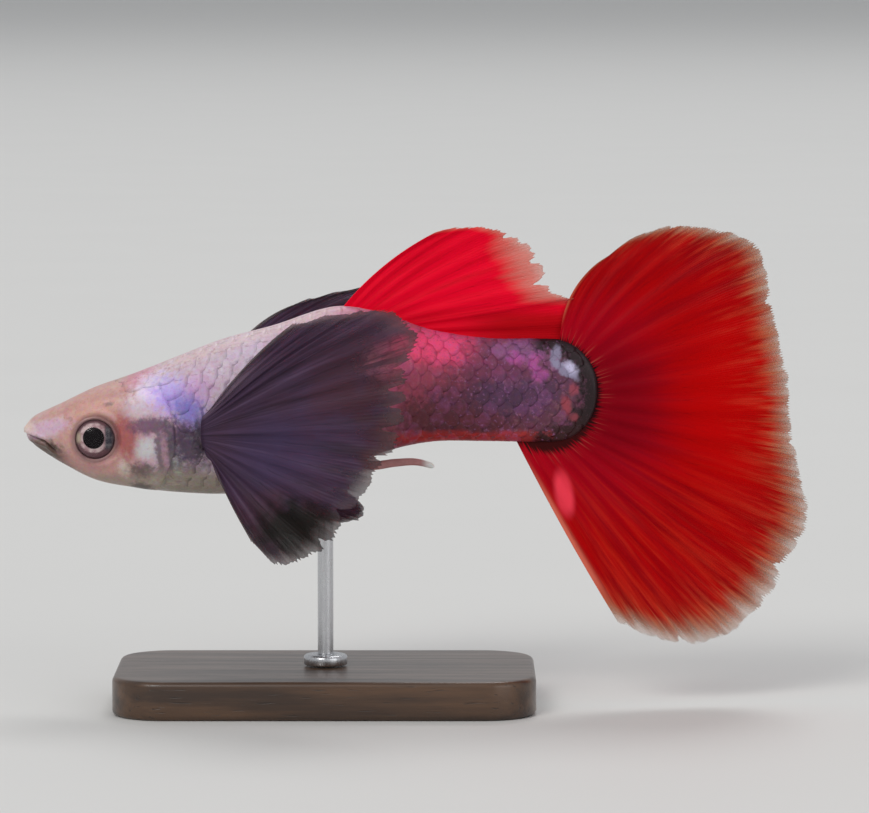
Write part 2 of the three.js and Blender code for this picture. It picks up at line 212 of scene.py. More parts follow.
def lofted(name, rings, first, last):
    """A closed piece through rings of points, with one more point that closes each end."""
    count, sides = len(rings), len(rings[0])
    here = np.arange(sides)
    after = (here + 1) % sides
    start = np.arange(count - 1)[:, None] * sides
    quads = np.stack([start + here, start + after, start + sides + after, start + sides + here], -1)
    front, rear = count * sides, count * sides + 1
    end = (count - 1) * sides
    fans = [(front, b, a) for a, b in zip(here, after)]
    fans += [(rear, end + a, end + b) for a, b in zip(here, after)]
    return new_object(name, np.concatenate([*rings, [first, last]]), [*quads.reshape(-1, 4), *fans])


def turned_piece(name, profile, centre, axis, sides):
    """A closed round piece: the profile's radius and height are turned about an axis through centre."""
    axis = np.asarray(axis, float) / np.linalg.norm(axis)
    other = np.array([1.0, 0.0, 0.0]) if abs(axis[0]) < 0.9 else np.array([0.0, 1.0, 0.0])
    first = np.cross(axis, other)
    first /= np.linalg.norm(first)
    second = np.cross(axis, first)
    angle = turns(sides)[:, None]
    ring = np.cos(angle) * first + np.sin(angle) * second
    rings = [centre + r * ring + h * axis for r, h in profile[1:-1]]
    return lofted(name, rings, centre + profile[0][1] * axis, centre + profile[-1][1] * axis)


def dress(piece, material):
    piece.data.materials.clear()
    piece.data.materials.append(material)


def place_piece(piece, material, slot, *nodes):
    """Gives a piece its material and the solids that it stands for; slot is not used."""
    dress(piece, material)
    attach(piece, "root")
    if nodes:
        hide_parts(*nodes)


# Settings that a panel shows
def length_setting(name, description, default):
    return FloatProperty(
        name=name, description=description, default=default, unit="LENGTH", subtype="DISTANCE")


def colour_setting(name, description, default):
    return FloatVectorProperty(
        name=name, description=description, default=default, subtype="COLOR", min=0.0, max=1.0)


# Materials
def node_math(operation, turned=False):
    """One operator of Value; turned is for a plain number on its left."""
    if turned:
        return lambda value, other: value.painter.math(operation, other, value)
    return lambda value, other: value.painter.math(operation, value, other)


class Value:
    """What a node gives out. The usual operators add math nodes to it."""

    def __init__(self, painter, socket):
        self.painter, self.socket = painter, socket

    __add__, __radd__ = node_math("ADD"), node_math("ADD", turned=True)
    __sub__, __rsub__ = node_math("SUBTRACT"), node_math("SUBTRACT", turned=True)
    __mul__, __rmul__ = node_math("MULTIPLY"), node_math("MULTIPLY", turned=True)
    __truediv__ = node_math("DIVIDE")


class Painter:
    """Adds nodes to a tree and joins them up."""

    def __init__(self, tree):
        self.tree = tree

    def give(self, socket, value):
        """Joins a node's output to an input, or sets the input to a plain value."""
        if isinstance(value, Value):
            self.tree.links.new(value.socket, socket)
        else:
            socket.default_value = value

    def add(self, kind, inputs=None, **settings):
        node = self.tree.nodes.new(kind)
        for name, value in settings.items():
            setattr(node, name, value)
        for name, value in (inputs or {}).items():
            self.give(node.inputs[name], value)
        return node

    def value(self, kind, inputs=None, output=0, **settings):
        """One output of a new node."""
        return Value(self, self.add(kind, inputs, **settings).outputs[output])

    def named_value(self, kind, inputs, **settings):
        """The same for a node with spare sockets under one name: only those in use count."""
        node = self.add(kind, **settings)
        for socket in node.inputs:
            if socket.enabled and socket.name in inputs:
                self.give(socket, inputs[socket.name])
        return Value(self, next(o for o in node.outputs if o.enabled))

    def given(self):
        """The inputs of a node group by name."""
        return {o.name: Value(self, o) for o in self.add("NodeGroupInput").outputs}

    def math(self, operation, a, b=0.0, clamp=False):
        return self.value("ShaderNodeMath", {0: a, 1: b}, operation=operation, use_clamp=clamp)

    def vector(self, operation, a, b=(0.0, 0.0, 0.0)):
        output = "Value" if operation == "LENGTH" else "Vector"
        return self.value("ShaderNodeVectorMath", {0: a, 1: b}, output, operation=operation)

    def scaled(self, vector, factor):
        return self.value("ShaderNodeVectorMath", {0: vector, "Scale": factor}, operation="SCALE")

    def parts(self, vector):
        """The x, y and z of a vector."""
        return [Value(self, o) for o in self.add("ShaderNodeSeparateXYZ", {0: vector}).outputs]

    def joined(self, x=0.0, y=0.0, z=0.0):
        return self.value("ShaderNodeCombineXYZ", {0: x, 1: y, 2: z})

    def attribute(self, name, output="Fac"):
        return self.value("ShaderNodeAttribute", output=output, attribute_name=name)

    def step(self, value, low, high, to_low=0.0, to_high=1.0):
        inputs = {"Value": value, "From Min": low, "From Max": high, "To Min": to_low, "To Max": to_high}
        return self.value("ShaderNodeMapRange", inputs, interpolation_type="SMOOTHSTEP")

    def mix(self, factor, a, b, blend="MIX"):
        a, b = (shade if isinstance(shade, Value) else (*shade, 1.0) for shade in (a, b))
        return self.value("ShaderNodeMix", {0: factor, 6: a, 7: b}, 2, data_type="RGBA", blend_type=blend)

    def noise(self, place, scale, detail=3.0, roughness=0.5, output=0):
        inputs = {"Vector": place, "Scale": scale, "Detail": detail, "Roughness": roughness}
        return self.value("ShaderNodeTexNoise", inputs, output)

    def grain(self, place, scale, detail=3.0, roughness=0.5):
        """Noise that is drawn out by a scale of its own along each axis."""
        stretched = self.value("ShaderNodeMapping", {"Vector": place, "Scale": scale})
        return self.noise(stretched, 1.0, detail, roughness)

    def blob(self, place, centre, radii, turn=0.0, soft=0.6, fray=None):
        """1 inside an ellipse of the side view, easing to 0 outside it. soft is the share that eases."""
        near = self.value("ShaderNodeMapping", {
            "Vector": place,
            "Location": (centre[0], 0.0, centre[1]),
            "Rotation": (0.0, -math.radians(turn), 0.0),
            "Scale": (radii[0], 1.0, radii[1]),
        }, vector_type="TEXTURE")
        distance = self.vector("LENGTH", near)
        if fray is not None:
            distance = distance + fray
        return self.step(distance, 1.0 + soft / 2, 1.0 - soft / 2)

    def own_place(self):
        """The surface's place in the frame, in metres."""
        return self.value("ShaderNodeTexCoord", output="Object")

    def fish_place(self):
        """The surface's place in fish millimetres, and its distance, side and height."""
        moved = self.vector("SUBTRACT", self.own_place(), tuple(SNOUT))
        place = self.vector("MULTIPLY", moved, (1 / MM, 1 / MM, 1 / MM))
        return place, *self.parts(place)

    def ramp(self, value, stops):
        node = self.add("ShaderNodeValToRGB", {0: value})
        elements = node.color_ramp.elements
        while len(elements) < len(stops):
            elements.new(0.5)
        for element, (position, colour) in zip(elements, stops):
            element.position = position
            element.color = (*colour, 1.0)
        return Value(self, node.outputs[0])

    def bump(self, height, distance, strength=1.0):
        return self.value("ShaderNodeBump", {"Height": height, "Distance": distance, "Strength": strength})


def new_material(name):
    material = bpy.data.materials.new(name)
    material.use_nodes = True
    material.node_tree.nodes.clear()
    return material, Painter(material.node_tree)


def finish_material(painter, inputs):
    shader = painter.value("ShaderNodeBsdfPrincipled", inputs)
    painter.add("ShaderNodeOutputMaterial", {"Surface": shader})


def new_tree(name, kind, inputs, outputs):
    """An empty node group with its sockets, and a painter for it."""
    tree = bpy.data.node_groups.new(name, kind)
    for sockets, direction in ((inputs, "INPUT"), (outputs, "OUTPUT")):
        for socket, sort in sockets.items():
            tree.interface.new_socket(socket, in_out=direction, socket_type=f"NodeSocket{sort}")
    return tree, Painter(tree)


def finish_growth(painter, geometry, material):
    """Ends a geometry tree with one real mesh in its material."""
    whole = painter.value("GeometryNodeRealizeInstances", {0: geometry})
    painted = painter.value("GeometryNodeSetMaterial", {"Geometry": whole, "Material": material})
    painter.add("NodeGroupOutput", {0: painted})


# Markings in the side view, with a few painted shades and highlights: colour, centre, radii, turn in degrees,
# share that eases, strength
FRONT_MARKS = (
    # Painted shadow: dark brown where the corner of the mouth and the upper jaw shade the lower jaw
    ("painted shadow at the jaw", (0.065, 0.042, 0.030), (1.4, -1.5), (1.9, 0.72), -36, 0.9, 1.0),
    ("lilac lip", (0.62, 0.43, 0.55), (1.2, 0.0), (1.45, 0.45), 18, 0.7, 0.9),
    # Painted highlight: orange salmon where the light falls on the brow above the eye
    ("brow", (0.62, 0.33, 0.27), (4.3, 1.2), (1.3, 0.5), 14, 0.9, 0.6),
    ("below the eye", (0.54, 0.28, 0.26), (4.0, -1.95), (1.7, 0.55), -8, 0.9, 0.8),
    ("red cheek", (0.36, 0.09, 0.085), (5.95, -0.25), (0.72, 1.3), 6, 0.8, 0.9),
    ("pore", (0.22, 0.12, 0.11), (4.97, 1.54), (0.26, 0.12), 5, 0.8, 0.8),
    ("nape pink", (0.68, 0.27, 0.34), (6.7, 3.0), (0.95, 0.45), 30, 0.9, 0.8),
    ("pale nape", (0.88, 0.74, 0.92), (7.6, 2.45), (1.2, 0.8), 25, 0.9, 0.9),
    ("pale cheek top", (0.62, 0.52, 0.60), (6.55, 1.3), (0.6, 0.8), 70, 1.1, 0.7),
    ("violet", (0.44, 0.31, 0.80), (8.8, 1.95), (1.45, 1.0), -10, 0.9, 0.85),
    ("pink shoulder", (0.62, 0.34, 0.60), (10.1, 2.4), (0.9, 0.8), 40, 0.9, 0.7),
    ("blue shoulder", (0.17, 0.15, 0.50), (9.65, 0.95), (0.85, 1.15), 30, 0.9, 0.8),
    ("plum behind the eye", (0.15, 0.07, 0.125), (7.3, 0.3), (1.15, 0.5), 4, 0.8, 0.9),
    ("plum above the fin root", (0.115, 0.065, 0.125), (8.9, -0.1), (1.1, 0.65), -12, 0.9, 0.85),
    ("plum gill cover", (0.15, 0.085, 0.12), (8.3, -1.1), (0.8, 1.3), 0, 1.0, 0.75),
    ("silver", (0.62, 0.61, 0.63), (7.1, -1.0), (0.55, 0.6), 0, 1.1, 0.95),
    ("gill shade one", (0.17, 0.12, 0.14), (7.85, -1.1), (0.2, 1.35), 6, 0.8, 0.85),
    ("gill rose", (0.42, 0.25, 0.31), (8.15, -1.3), (0.18, 1.0), 6, 0.8, 0.8),
    ("gill shade two", (0.12, 0.10, 0.11), (8.5, -1.1), (0.16, 1.4), 6, 0.8, 0.8),
    ("gill pale", (0.48, 0.50, 0.49), (8.85, -1.8), (0.3, 0.95), 4, 0.8, 0.8),
    ("fin root plum", (0.065, 0.038, 0.07), (9.6, -0.85), (1.2, 1.2), 0, 0.9, 0.95),
    ("grey flank", (0.20, 0.15, 0.15), (8.9, -2.35), (1.5, 0.5), 6, 1.0, 0.7),
    ("cream cheek", (0.62, 0.52, 0.46), (5.8, -2.2), (0.3, 0.5), 12, 0.8, 0.8),
    ("throat brown", (0.11, 0.075, 0.07), (6.9, -2.35), (0.7, 0.55), 0, 0.9, 0.85),
    ("belly cream", (0.40, 0.34, 0.26), (9.6, -3.15), (3.0, 0.75), -2, 0.8, 0.75),
    ("throat notch", (0.05, 0.04, 0.03), (6.75, -3.35), (0.6, 0.3), -10, 0.9, 0.8),
    # Painted shade: brown along the mouth line under the upper lip, darkest in the corner of the mouth
    ("painted shade below the mouth line", (0.15, 0.095, 0.075), (1.1, -1.0), (0.9, 0.3), -36, 1.0, 0.7),
    ("painted shadow in the mouth corner", (0.085, 0.05, 0.04), (1.7, -0.98), (0.42, 0.2), -35, 1.2, 0.85),
    ("cream lip", (0.76, 0.60, 0.54), (0.15, 0.1), (0.5, 0.38), 0, 1.0, 0.9),
    ("shade at the fin root", (0.016, 0.010, 0.016), (10.2, -0.15), (0.42, 1.05), 0, 0.9, 0.75),
)
REAR_MARKS = (
    ("hot pink", (0.92, 0.055, 0.17), (23.6, 4.5), (2.3, 1.1), -8, 0.9, 0.95),
    ("rose", (0.30, 0.040, 0.075), (23.4, 2.7), (2.4, 1.3), 0, 0.9, 0.8),
    ("maroon", (0.105, 0.012, 0.019), (24.6, 0.7), (3.4, 1.2), 0, 0.9, 0.9),
    ("mulberry", (0.17, 0.028, 0.075), (26.8, 3.5), (2.2, 1.2), 0, 0.9, 0.8),
    ("plum side", (0.095, 0.018, 0.042), (25.8, 2.0), (2.6, 0.9), 0, 0.9, 0.75),
    ("slate", (0.085, 0.030, 0.080), (28.0, 1.9), (2.4, 1.1), 0, 0.9, 0.85),
    ("lilac back", (0.24, 0.085, 0.21), (28.3, 4.5), (1.7, 0.5), 0, 0.9, 0.7),
    ("magenta one", (0.50, 0.08, 0.33), (28.0, 4.05), (0.4, 0.4), 0, 0.9, 0.75),
    ("magenta two", (0.54, 0.09, 0.36), (29.0, 3.95), (0.38, 0.5), 0, 0.9, 0.75),
    ("magenta three", (0.46, 0.08, 0.31), (29.5, 3.15), (0.45, 0.45), 0, 0.9, 0.85),
    ("crimson underside", (0.48, 0.026, 0.020), (25.5, -0.55), (5.2, 0.42), 0, 0.9, 0.9),
)
END_MARKS = (
    ("grey band front", (0.28, 0.24, 0.36), (30.35, 4.15), (0.3, 0.6), -8, 0.7, 0.9),
    ("grey band", (0.30, 0.27, 0.40), (30.9, 3.35), (0.85, 0.28), -35, 0.7, 0.85),
    ("red spot one", (0.34, 0.055, 0.085), (31.35, 2.25), (0.26, 0.3), 0, 1.1, 0.9),
    ("red spot two", (0.36, 0.05, 0.07), (30.95, 1.35), (0.26, 0.5), 10, 1.1, 0.9),
    ("red spot three", (0.30, 0.05, 0.07), (31.4, 0.65), (0.26, 0.2), 0, 1.1, 0.8),
    ("silver spot", (0.62, 0.56, 0.78), (31.2, 3.5), (0.40, 0.24), -45, 1.5, 1.0),
)


# The black ring where the tail fin grows from the stem: two ellipses of the side view
RING_OUTER, RING_OUTER_RADII = (29.9, 1.9), (3.0, 3.3)
RING_INNER, RING_INNER_RADII = (29.55, 2.15), (2.2, 2.35)
RING_BLACK, RING_BROWN = (0.010, 0.002, 0.003), (0.030, 0.004, 0.004)
# The patch of bare silver on the gill cover
SILVER, SILVER_RADII = (7.15, -1.02), (0.7, 0.7)


def markings_tree():
    """The colours of the whole body, for the skin and for the scales that lie on it."""
    tree, p = new_tree("Guppy markings", "ShaderNodeTree", {"Tint": "Float", "Margin": "Float"},
                       {"Color": "Color", "Silver": "Float", "Moist": "Float"})
    given = p.given()
    place, x, _, z = p.fish_place()
    flat = p.joined(x, 0.0, z)

    def shaken(scale, detail, reach):
        """The side view, moved about by noise so that outlines waver."""
        centred = p.vector("SUBTRACT", p.noise(place, scale, detail, output="Color"), (0.5, 0.5, 0.5))
        return p.vector("ADD", flat, p.vector("MULTIPLY", centred, (reach, 0.0, reach)))

    def marked(colour, marks, where, softer=0.0, fray=None):
        for _, shade, centre, radii, turn, soft, strength in marks:
            mask = p.blob(where, centre, radii, turn, soft + softer, fray) * strength
            colour = p.mix(mask, colour, shade)
        return colour

    rough = shaken(1.1, 3.0, 0.9)
    neat = shaken(3.4, 2.0, 0.35)
    along, _, level = p.parts(rough)
    colour = p.ramp(along / BODY_LENGTH, (
        (0.0, (0.56, 0.38, 0.36)),
        (0.09, (0.53, 0.29, 0.25)),
        (0.18, (0.53, 0.30, 0.27)),
        (0.235, (0.60, 0.42, 0.50)),
        (0.40, (0.74, 0.58, 0.72)),
        (0.52, (0.66, 0.38, 0.48)),
        (0.64, (0.56, 0.09, 0.16)),
        (0.74, (0.40, 0.055, 0.12)),
        (0.86, (0.17, 0.045, 0.10)),
        (1.0, (0.10, 0.03, 0.06)),
    ))
    # Low on the body the front is olive cream and the rear is maroon
    low_front = p.step(level, -1.6, -3.0) * p.step(x, 19.0, 12.0)
    colour = p.mix(low_front * 0.75, colour, (0.38, 0.31, 0.25))
    low_rear = p.step(level, 2.6, 0.2) * p.step(x, 15.0, 21.0)
    colour = p.mix(low_rear * 0.7, colour, (0.13, 0.03, 0.05))
    # A painted highlight: a cream line along the top of the back, where the light falls, which rises evenly
    # from the nape to the dorsal fin
    below_back = z - (x * 0.341 + 0.93)
    ridge = p.step(below_back, -0.75, -0.05) * p.step(x, 19.0, 16.5)
    ridge = ridge * p.step(x, 4.5, 8.0, 0.15, 0.6)
    colour = p.mix(ridge, colour, (0.80, 0.61, 0.58))
    pearl = p.step(p.noise(place, 1.9, 4.0, 0.6), 0.48, 0.74) * p.step(x, 5.5, 8.0, 0.1, 0.42)
    colour = p.mix(pearl * p.step(x, 20.0, 15.0), colour, (0.74, 0.68, 0.80))
    freckle = p.step(p.noise(place, 3.2, 4.0, 0.6), 0.50, 0.70) * p.step(z, -3.2, -2.0, 0.1, 0.28)
    colour = p.mix(freckle, colour, (0.50, 0.20, 0.24))
    cloud = (p.noise(place, 3.2, 4.0, 0.65) - 0.5) * 1.5
    colour = marked(colour, FRONT_MARKS, neat, 0.25, cloud)
    colour = marked(colour, REAR_MARKS, rough, fray=cloud)
    # A fine play of rose and lilac over everything
    colour = p.mix(0.6, colour, p.noise(place, 4.5, 4.0, 0.7, "Color"), "SOFT_LIGHT")
    # A dark ring of skin round the eye
    from_eye = p.vector("LENGTH", p.vector("SUBTRACT", flat, (EYE[0], 0.0, EYE[2])))
    rim = p.step(from_eye, 1.55, 1.26) * 0.5
    colour = p.mix(rim, colour, (0.17, 0.085, 0.09))
    # Mottles: each scale of the tail stem has its own depth of colour
    mottle = p.noise(place, 2.6, 4.0, 0.7)
    depth = (given["Tint"] - 0.5) * 0.65 + (mottle - 0.5) * 1.5
    depth = depth * p.step(x, 17.0, 25.0, 0.22, 1.0)
    bright = p.math("MAXIMUM", depth, 0.0, clamp=True)
    dark = p.math("MAXIMUM", depth * -1.0, 0.0, clamp=True)
    lifted = p.mix(0.42, colour, (0.50, 0.13, 0.42))
    colour = p.mix(bright, colour, lifted)
    colour = p.mix(dark, colour, p.mix(0.75, colour, (0.03, 0.012, 0.03)))
    # Pigment gathers along the free edges of the rear scales
    edging = p.step(given["Margin"], 0.62, 0.95) * p.step(x, 17.0, 23.0, 0.03, 0.24)
    colour = p.mix(edging, colour, p.mix(0.8, colour, (0.045, 0.012, 0.03)))
    # The black ring round the end of the tail stem, thinner above and brown below
    inner = p.blob(neat, RING_INNER, RING_INNER_RADII, 0, 0.3, cloud * 0.6)
    ring = (1.0 - inner) * p.step(x, 28.6, 29.6)
    black = p.mix(p.step(z, 1.0, -0.6), RING_BLACK, RING_BROWN)
    colour = p.mix(ring * 0.97, colour, black)
    silver = p.blob(neat, SILVER, SILVER_RADII, 0, 0.9, cloud) * 0.35
    colour = marked(colour, END_MARKS, neat)
    # Fine speckle of pigment cells
    speck = p.step(p.noise(place, 9.0, 2.0, 0.6), 0.56, 0.72)
    colour = p.mix(speck * p.step(x, 17.0, 23.0, 0.2, 0.4), colour, (0.08, 0.03, 0.05))
    glint = p.step(p.noise(place, 6.0, 2.0, 0.5), 0.6, 0.72) * p.step(x, 22.0, 25.0, 0.0, 0.5)
    glint = glint * p.step(x, 31.4, 30.4)
    colour = p.mix(glint, colour, (0.34, 0.13, 0.30))
    moist = p.noise(place, 2.2)
    p.add("NodeGroupOutput", {"Color": colour, "Silver": silver, "Moist": moist})
    return tree


def body_material(name, markings, tinted):
    """Moist fish skin, or a scale of it, with the body's markings."""
    material, p = new_material(name)
    given = {"Tint": p.attribute("tint"), "Margin": p.attribute("margin")} if tinted else {"Tint": 0.5}
    marks = p.add("ShaderNodeGroup", given, node_tree=markings)
    colour, silver, moist = (Value(p, o) for o in marks.outputs)
    place = p.fish_place()[0]
    finish_material(p, {
        "Base Color": colour,
        "Roughness": p.step(moist, 0.3, 0.7, 0.34, 0.48),
        "Metallic": silver,
        "Normal": p.bump(p.noise(place, 14.0), 0.00002, 0.5),
        "Subsurface Weight": 0.12,
        "Subsurface Radius": (1.0, 0.45, 0.3),
        "Subsurface Scale": 0.0003,
        "Specular IOR Level": 0.3,
        "Coat Weight": 0.05,
        "Coat Roughness": 0.25,
    })
    return material


def gill_edge(z):
    """Distance of the gill cover's rear edge behind the snout, at a height."""
    return 8.72 - 0.11 * (z + 0.4) ** 2


def mouth_line(x):
    """Height of the line between the lips."""
    return np.where(x < 1.3, -0.28 - 0.32 * x, -0.70 - 0.95 * (x - 1.3))


def sculpt(x, y, z):
    """How far the skin stands out from the plain form, in millimetres, at places on the body."""
    side = np.abs(y)
    lift = np.zeros_like(x)
    # Lips, and the slit between them
    lips = smooth(x, 2.0, 1.5)
    apart = z - mouth_line(x)
    lift += lips * 0.10 * bell(np.abs(apart) - 0.2, 0.13)
    lift -= smooth(x, 1.95, 1.7) * 0.22 * bell(apart, 0.055)
    # A fold behind the corner of the mouth, and the crease under the lip plate
    lift -= 0.07 * bell(x - 1.95 - 0.5 * (z + 1.0), 0.12) * bell(z + 1.05, 0.4)
    lift -= 0.035 * bell(x - 2.35, 0.16) * smooth(z, -0.6, 0.0) * smooth(side, 0.3, 0.9)
    # Nostrils in front of the eyes
    lift -= 0.12 * bell(np.hypot(x - 2.75, z - 0.62), 0.09)
    lift += 0.03 * bell(np.hypot(x - 2.75, z - 0.62) - 0.17, 0.07)
    # Fold of skin round the eye
    from_eye = np.hypot(x - EYE[0], z - EYE[2])
    lift -= 0.04 * bell(from_eye - 1.85, 0.22)
    # Cheek groove, then the gill cover, which swells towards its free rear edge and ends in a step
    low_enough = smooth(z, 2.6, 1.9) * smooth(z, -3.75, -2.9)
    behind = x - gill_edge(z)
    lift -= 0.05 * low_enough * bell(behind + 2.35, 0.13) * smooth(z, -3.0, -2.2)
    lift += low_enough * 0.13 * smooth(behind, -1.9, -0.25) * smooth(behind, 0.07, -0.05)
    lift -= low_enough * 0.06 * bell(behind - 0.12, 0.13)
    # Fleshy root of the pectoral fin
    lift += 0.30 * bell(x - 10.25, 0.42) * bell(z + 0.15, 0.95)
    # Rib of muscle along the middle of the side
    lift += 0.03 * bell(z - 2.2, 0.5) * smooth(x, 11.0, 15.0) * smooth(x, 31.0, 28.0)
    return lift


class GuppyBody(bpy.types.PropertyGroup):
    coat_depth: length_setting(
        "Coat depth", "How far the skin lies inside the solids, under the scales", 0.00004)
    skin_sides: IntProperty(name="Skin sides", description="Facets round the skin", default=168)
    scale_rows: IntProperty(name="Scale rows", description="Rows of scales round the body", default=20)
    scale_columns: IntProperty(name="Scale columns", description="Scales in a row along the body", default=29)
    scale_thickness: length_setting("Scale thickness", "Thickness of one scale", 0.00001)
    scale_lift: length_setting("Scale lift", "How far the free edge of a scale stands off the skin", 0.000017)


def widening(length, count):
    """Distances from a rounded end, close together at the end itself."""
    return length * (1 - np.cos((np.arange(count) + 0.5) / count * np.pi / 2))


def skin_rings():
    """Distances of the rings of the skin: close on the head, wider behind it."""
    head_end, head_step, body_step = 9.4, 0.045, 0.11
    snout_rings, tail_rings = 18, 30
    tail_start = BODY_LENGTH - TAIL_ROUND
    head = np.arange(SNOUT_ROUND, head_end, head_step)
    body = np.linspace(head_end, tail_start, int((tail_start - head_end) / body_step))
    tail = BODY_LENGTH - widening(TAIL_ROUND, tail_rings)[::-1]
    return np.concatenate([widening(SNOUT_ROUND, snout_rings), head, body, tail])


def skin_points(x, angle, inset):
    """Points on the skin before the eye sockets are sunk; angle 0 is the far side, a quarter the back."""
    back, belly, half = back_at(x) - inset, belly_at(x) + inset, half_at(x) - inset
    level = (back + belly) / 2
    up, across = np.sin(angle), np.cos(angle)
    reach = np.where(up > 0, back - level, level - belly)
    power = 2.0 / np.where(up > 0, square_line(x), 2.0)
    y = half * np.sign(across) * np.abs(across) ** power
    z = level + reach * np.sign(up) * np.abs(up) ** power
    out_y, out_z = y / half**2, (z - level) / reach**2
    length = np.maximum(np.hypot(out_y, out_z), 1e-9)
    lift = sculpt(x, y, z)
    return np.stack([x, y + lift * out_y / length, z + lift * out_z / length], -1)


def sink_sockets(points):
    """Draws the skin of each side in towards the rim of the eye, and sinks it behind the eyeball."""
    x, y, z = points[..., 0], points[..., 1], points[..., 2]
    from_eye = np.hypot(x - EYE[0], z - EYE[2])
    on_side = np.abs(y) > EYE[1] * 0.4
    rim_level, funnel_start, opening = EYE[1] + 0.27, 1.62, 1.2
    drawn = smooth(from_eye, funnel_start, opening) * on_side
    side = np.abs(y) * (1 - drawn) + rim_level * drawn
    behind = EYE[1] - 0.35
    sunk = smooth(from_eye, opening - 0.02, opening - 0.14) * on_side
    points[..., 1] = np.sign(y) * (side * (1 - sunk) + behind * sunk)
    return points


def build_skin(settings):
    rings, sides = skin_rings(), settings.skin_sides
    angle = -np.pi / 2 + 2 * np.pi * np.arange(sides + 1) / sides
    x, turn = np.meshgrid(rings, angle, indexing="ij")
    points = sink_sockets(skin_points(x, turn, settings.coat_depth / MM))
    piece = lofted("guppy_skin", points[:, :-1], points[0].mean(0), points[-1].mean(0))
    # The unwrap: share of the length, and share of the way round from the middle of the belly
    step = np.linalg.norm(np.diff(points, axis=1), axis=2)
    round_share = np.concatenate([np.zeros((len(rings), 1)), np.cumsum(step, 1)], 1)
    round_share /= round_share[:, -1:]
    share = np.stack([x / BODY_LENGTH, round_share], -1)
    corners = [share[:-1, :-1], share[:-1, 1:], share[1:, 1:], share[1:, :-1]]
    spare = np.full((6 * sides, 2), 1e-4)
    layer = piece.data.uv_layers.new(name="BodyMap")
    layer.data.foreach_set("uv", np.concatenate([np.stack(corners, 2).reshape(-1, 2), spare]).ravel())
    return piece


def scale_plate():
    """One scale as a thin closed plate, from -0.5 to 0.5 both ways; its height is 0 below and 1 above."""
    line = np.linspace(-0.5, 0.5, 7)
    a, b = np.meshgrid(line, line, indexing="ij")
    narrow = np.sqrt(1.0 - 0.93 * np.abs(2 * a) ** 2.6)
    flat = np.stack([a, b * narrow, np.zeros_like(a)], -1)
    top = flat + (0.0, 0.0, 1.0)
    plate = closed_sheet("scale_plate", top, flat)
    plate.data.vertices.foreach_set("co", np.stack([top, flat]).astype(np.float32).ravel())
    plate.data.update()
    return plate


# Where the rows of scales start and end, behind the snout
SCALES_START, SCALES_END = 6.0, 31.6


def scale_spacing(settings):
    return (SCALES_END - SCALES_START) / settings.scale_columns


def scale_places(settings):
    """Roots of the scales on the unwrap of the skin, in alternate rows as on a fish."""
    behind_gill, nape_height, half_depth = 0.75, 0.72, 4.0
    places = []
    for row in range(settings.scale_rows):
        share = (row + 0.5) / settings.scale_rows
        height = math.sin(-math.pi / 2 + 2 * math.pi * share)
        for column in range(settings.scale_columns):
            x = SCALES_START + (column + 0.5 * (row % 2)) * scale_spacing(settings)
            if height > nape_height or x > gill_edge(height * half_depth) + behind_gill:
                places.append((x / BODY_LENGTH, share, 0.0))
    return places


def scales_tree():
    """Lays scale plates out on the skin's unwrap, then wraps them onto the skin itself."""
    tree, p = new_tree("Guppy scales", "GeometryNodeTree", {
        "Roots": "Geometry", "Skin": "Object", "Plate": "Object", "Length": "Float", "Width": "Float",
        "Thickness": "Float", "Lift": "Float", "Patch": "Float", "Seed": "Int", "Material": "Material",
    }, {"Scales": "Geometry"})
    given = p.given()
    position = p.value("GeometryNodeInputPosition")

    def random(low, high, offset):
        inputs = {"Min": low, "Max": high, "Seed": given["Seed"] + offset}
        return p.named_value("FunctionNodeRandomValue", inputs, data_type="FLOAT")

    def keep(geometry, name, value, kind="FLOAT_VECTOR", domain="POINT"):
        inputs = {"Geometry": geometry, "Name": name, "Value": value}
        return p.named_value("GeometryNodeStoreNamedAttribute", inputs, data_type=kind, domain=domain)

    def named(name):
        return p.named_value("GeometryNodeInputNamedAttribute", {"Name": name}, data_type="FLOAT_VECTOR")

    def shape_of(name):
        inputs = {"Object": given[name]}
        return p.value("GeometryNodeObjectInfo", inputs, "Geometry", transform_space="ORIGINAL")

    # Plates stand on their roots in the flat unwrap, each a little different
    roots = keep(keep(given["Roots"], "root", position), "tint", random(0.0, 1.0, 1), "FLOAT")
    size = p.scaled(p.joined(given["Length"], given["Width"], given["Thickness"]), random(0.92, 1.08, 2))
    spread = p.value("GeometryNodeInstanceOnPoints", {
        "Points": roots, "Instance": keep(shape_of("Plate"), "local", position),
        "Rotation": p.joined(z=random(-0.06, 0.06, 3)), "Scale": size,
    })
    loose = p.value("GeometryNodeRealizeInstances", {0: spread})
    # Each point looks up the same place of the unwrap on the skin
    along, around, _ = p.parts(position)
    sample = p.joined(along, p.math("FRACT", around))
    skin, unwrap = shape_of("Skin"), named("BodyMap")

    def on_skin(value):
        maps = {"Source UV Map": unwrap, "UV Map": unwrap, "Sample UV": sample}
        inputs = {"Mesh": skin, "Value": value, **maps}
        return p.named_value("GeometryNodeSampleUVSurface", inputs, data_type="FLOAT_VECTOR")

    # A scale rises towards its free edge, more so on the tail stem, and is domed across
    local, root = named("local"), named("root")
    outward, sideways, upward = p.parts(local)
    rise = (outward + 0.5 - 0.45) * given["Lift"] * p.step(p.parts(root)[0], 0.45, 0.65, 0.45, 1.3)
    rise = rise * (sideways * sideways * -2.2 + 1.0)
    push = p.scaled(on_skin(p.value("GeometryNodeInputNormal")), upward * given["Thickness"] + rise)
    target = p.vector("ADD", on_skin(position), push)
    laid = p.value("GeometryNodeSetPosition", {"Geometry": loose, "Position": target})
    across = p.vector("MULTIPLY", local, (1.6, 2.0, 0.0))
    laid = keep(laid, "margin", p.vector("LENGTH", across), "FLOAT")
    patch = p.vector("ADD", root, p.scaled(local, given["Patch"]))
    finish_growth(p, keep(laid, "OFBake", patch, "FLOAT2", "CORNER"), given["Material"])
    return tree


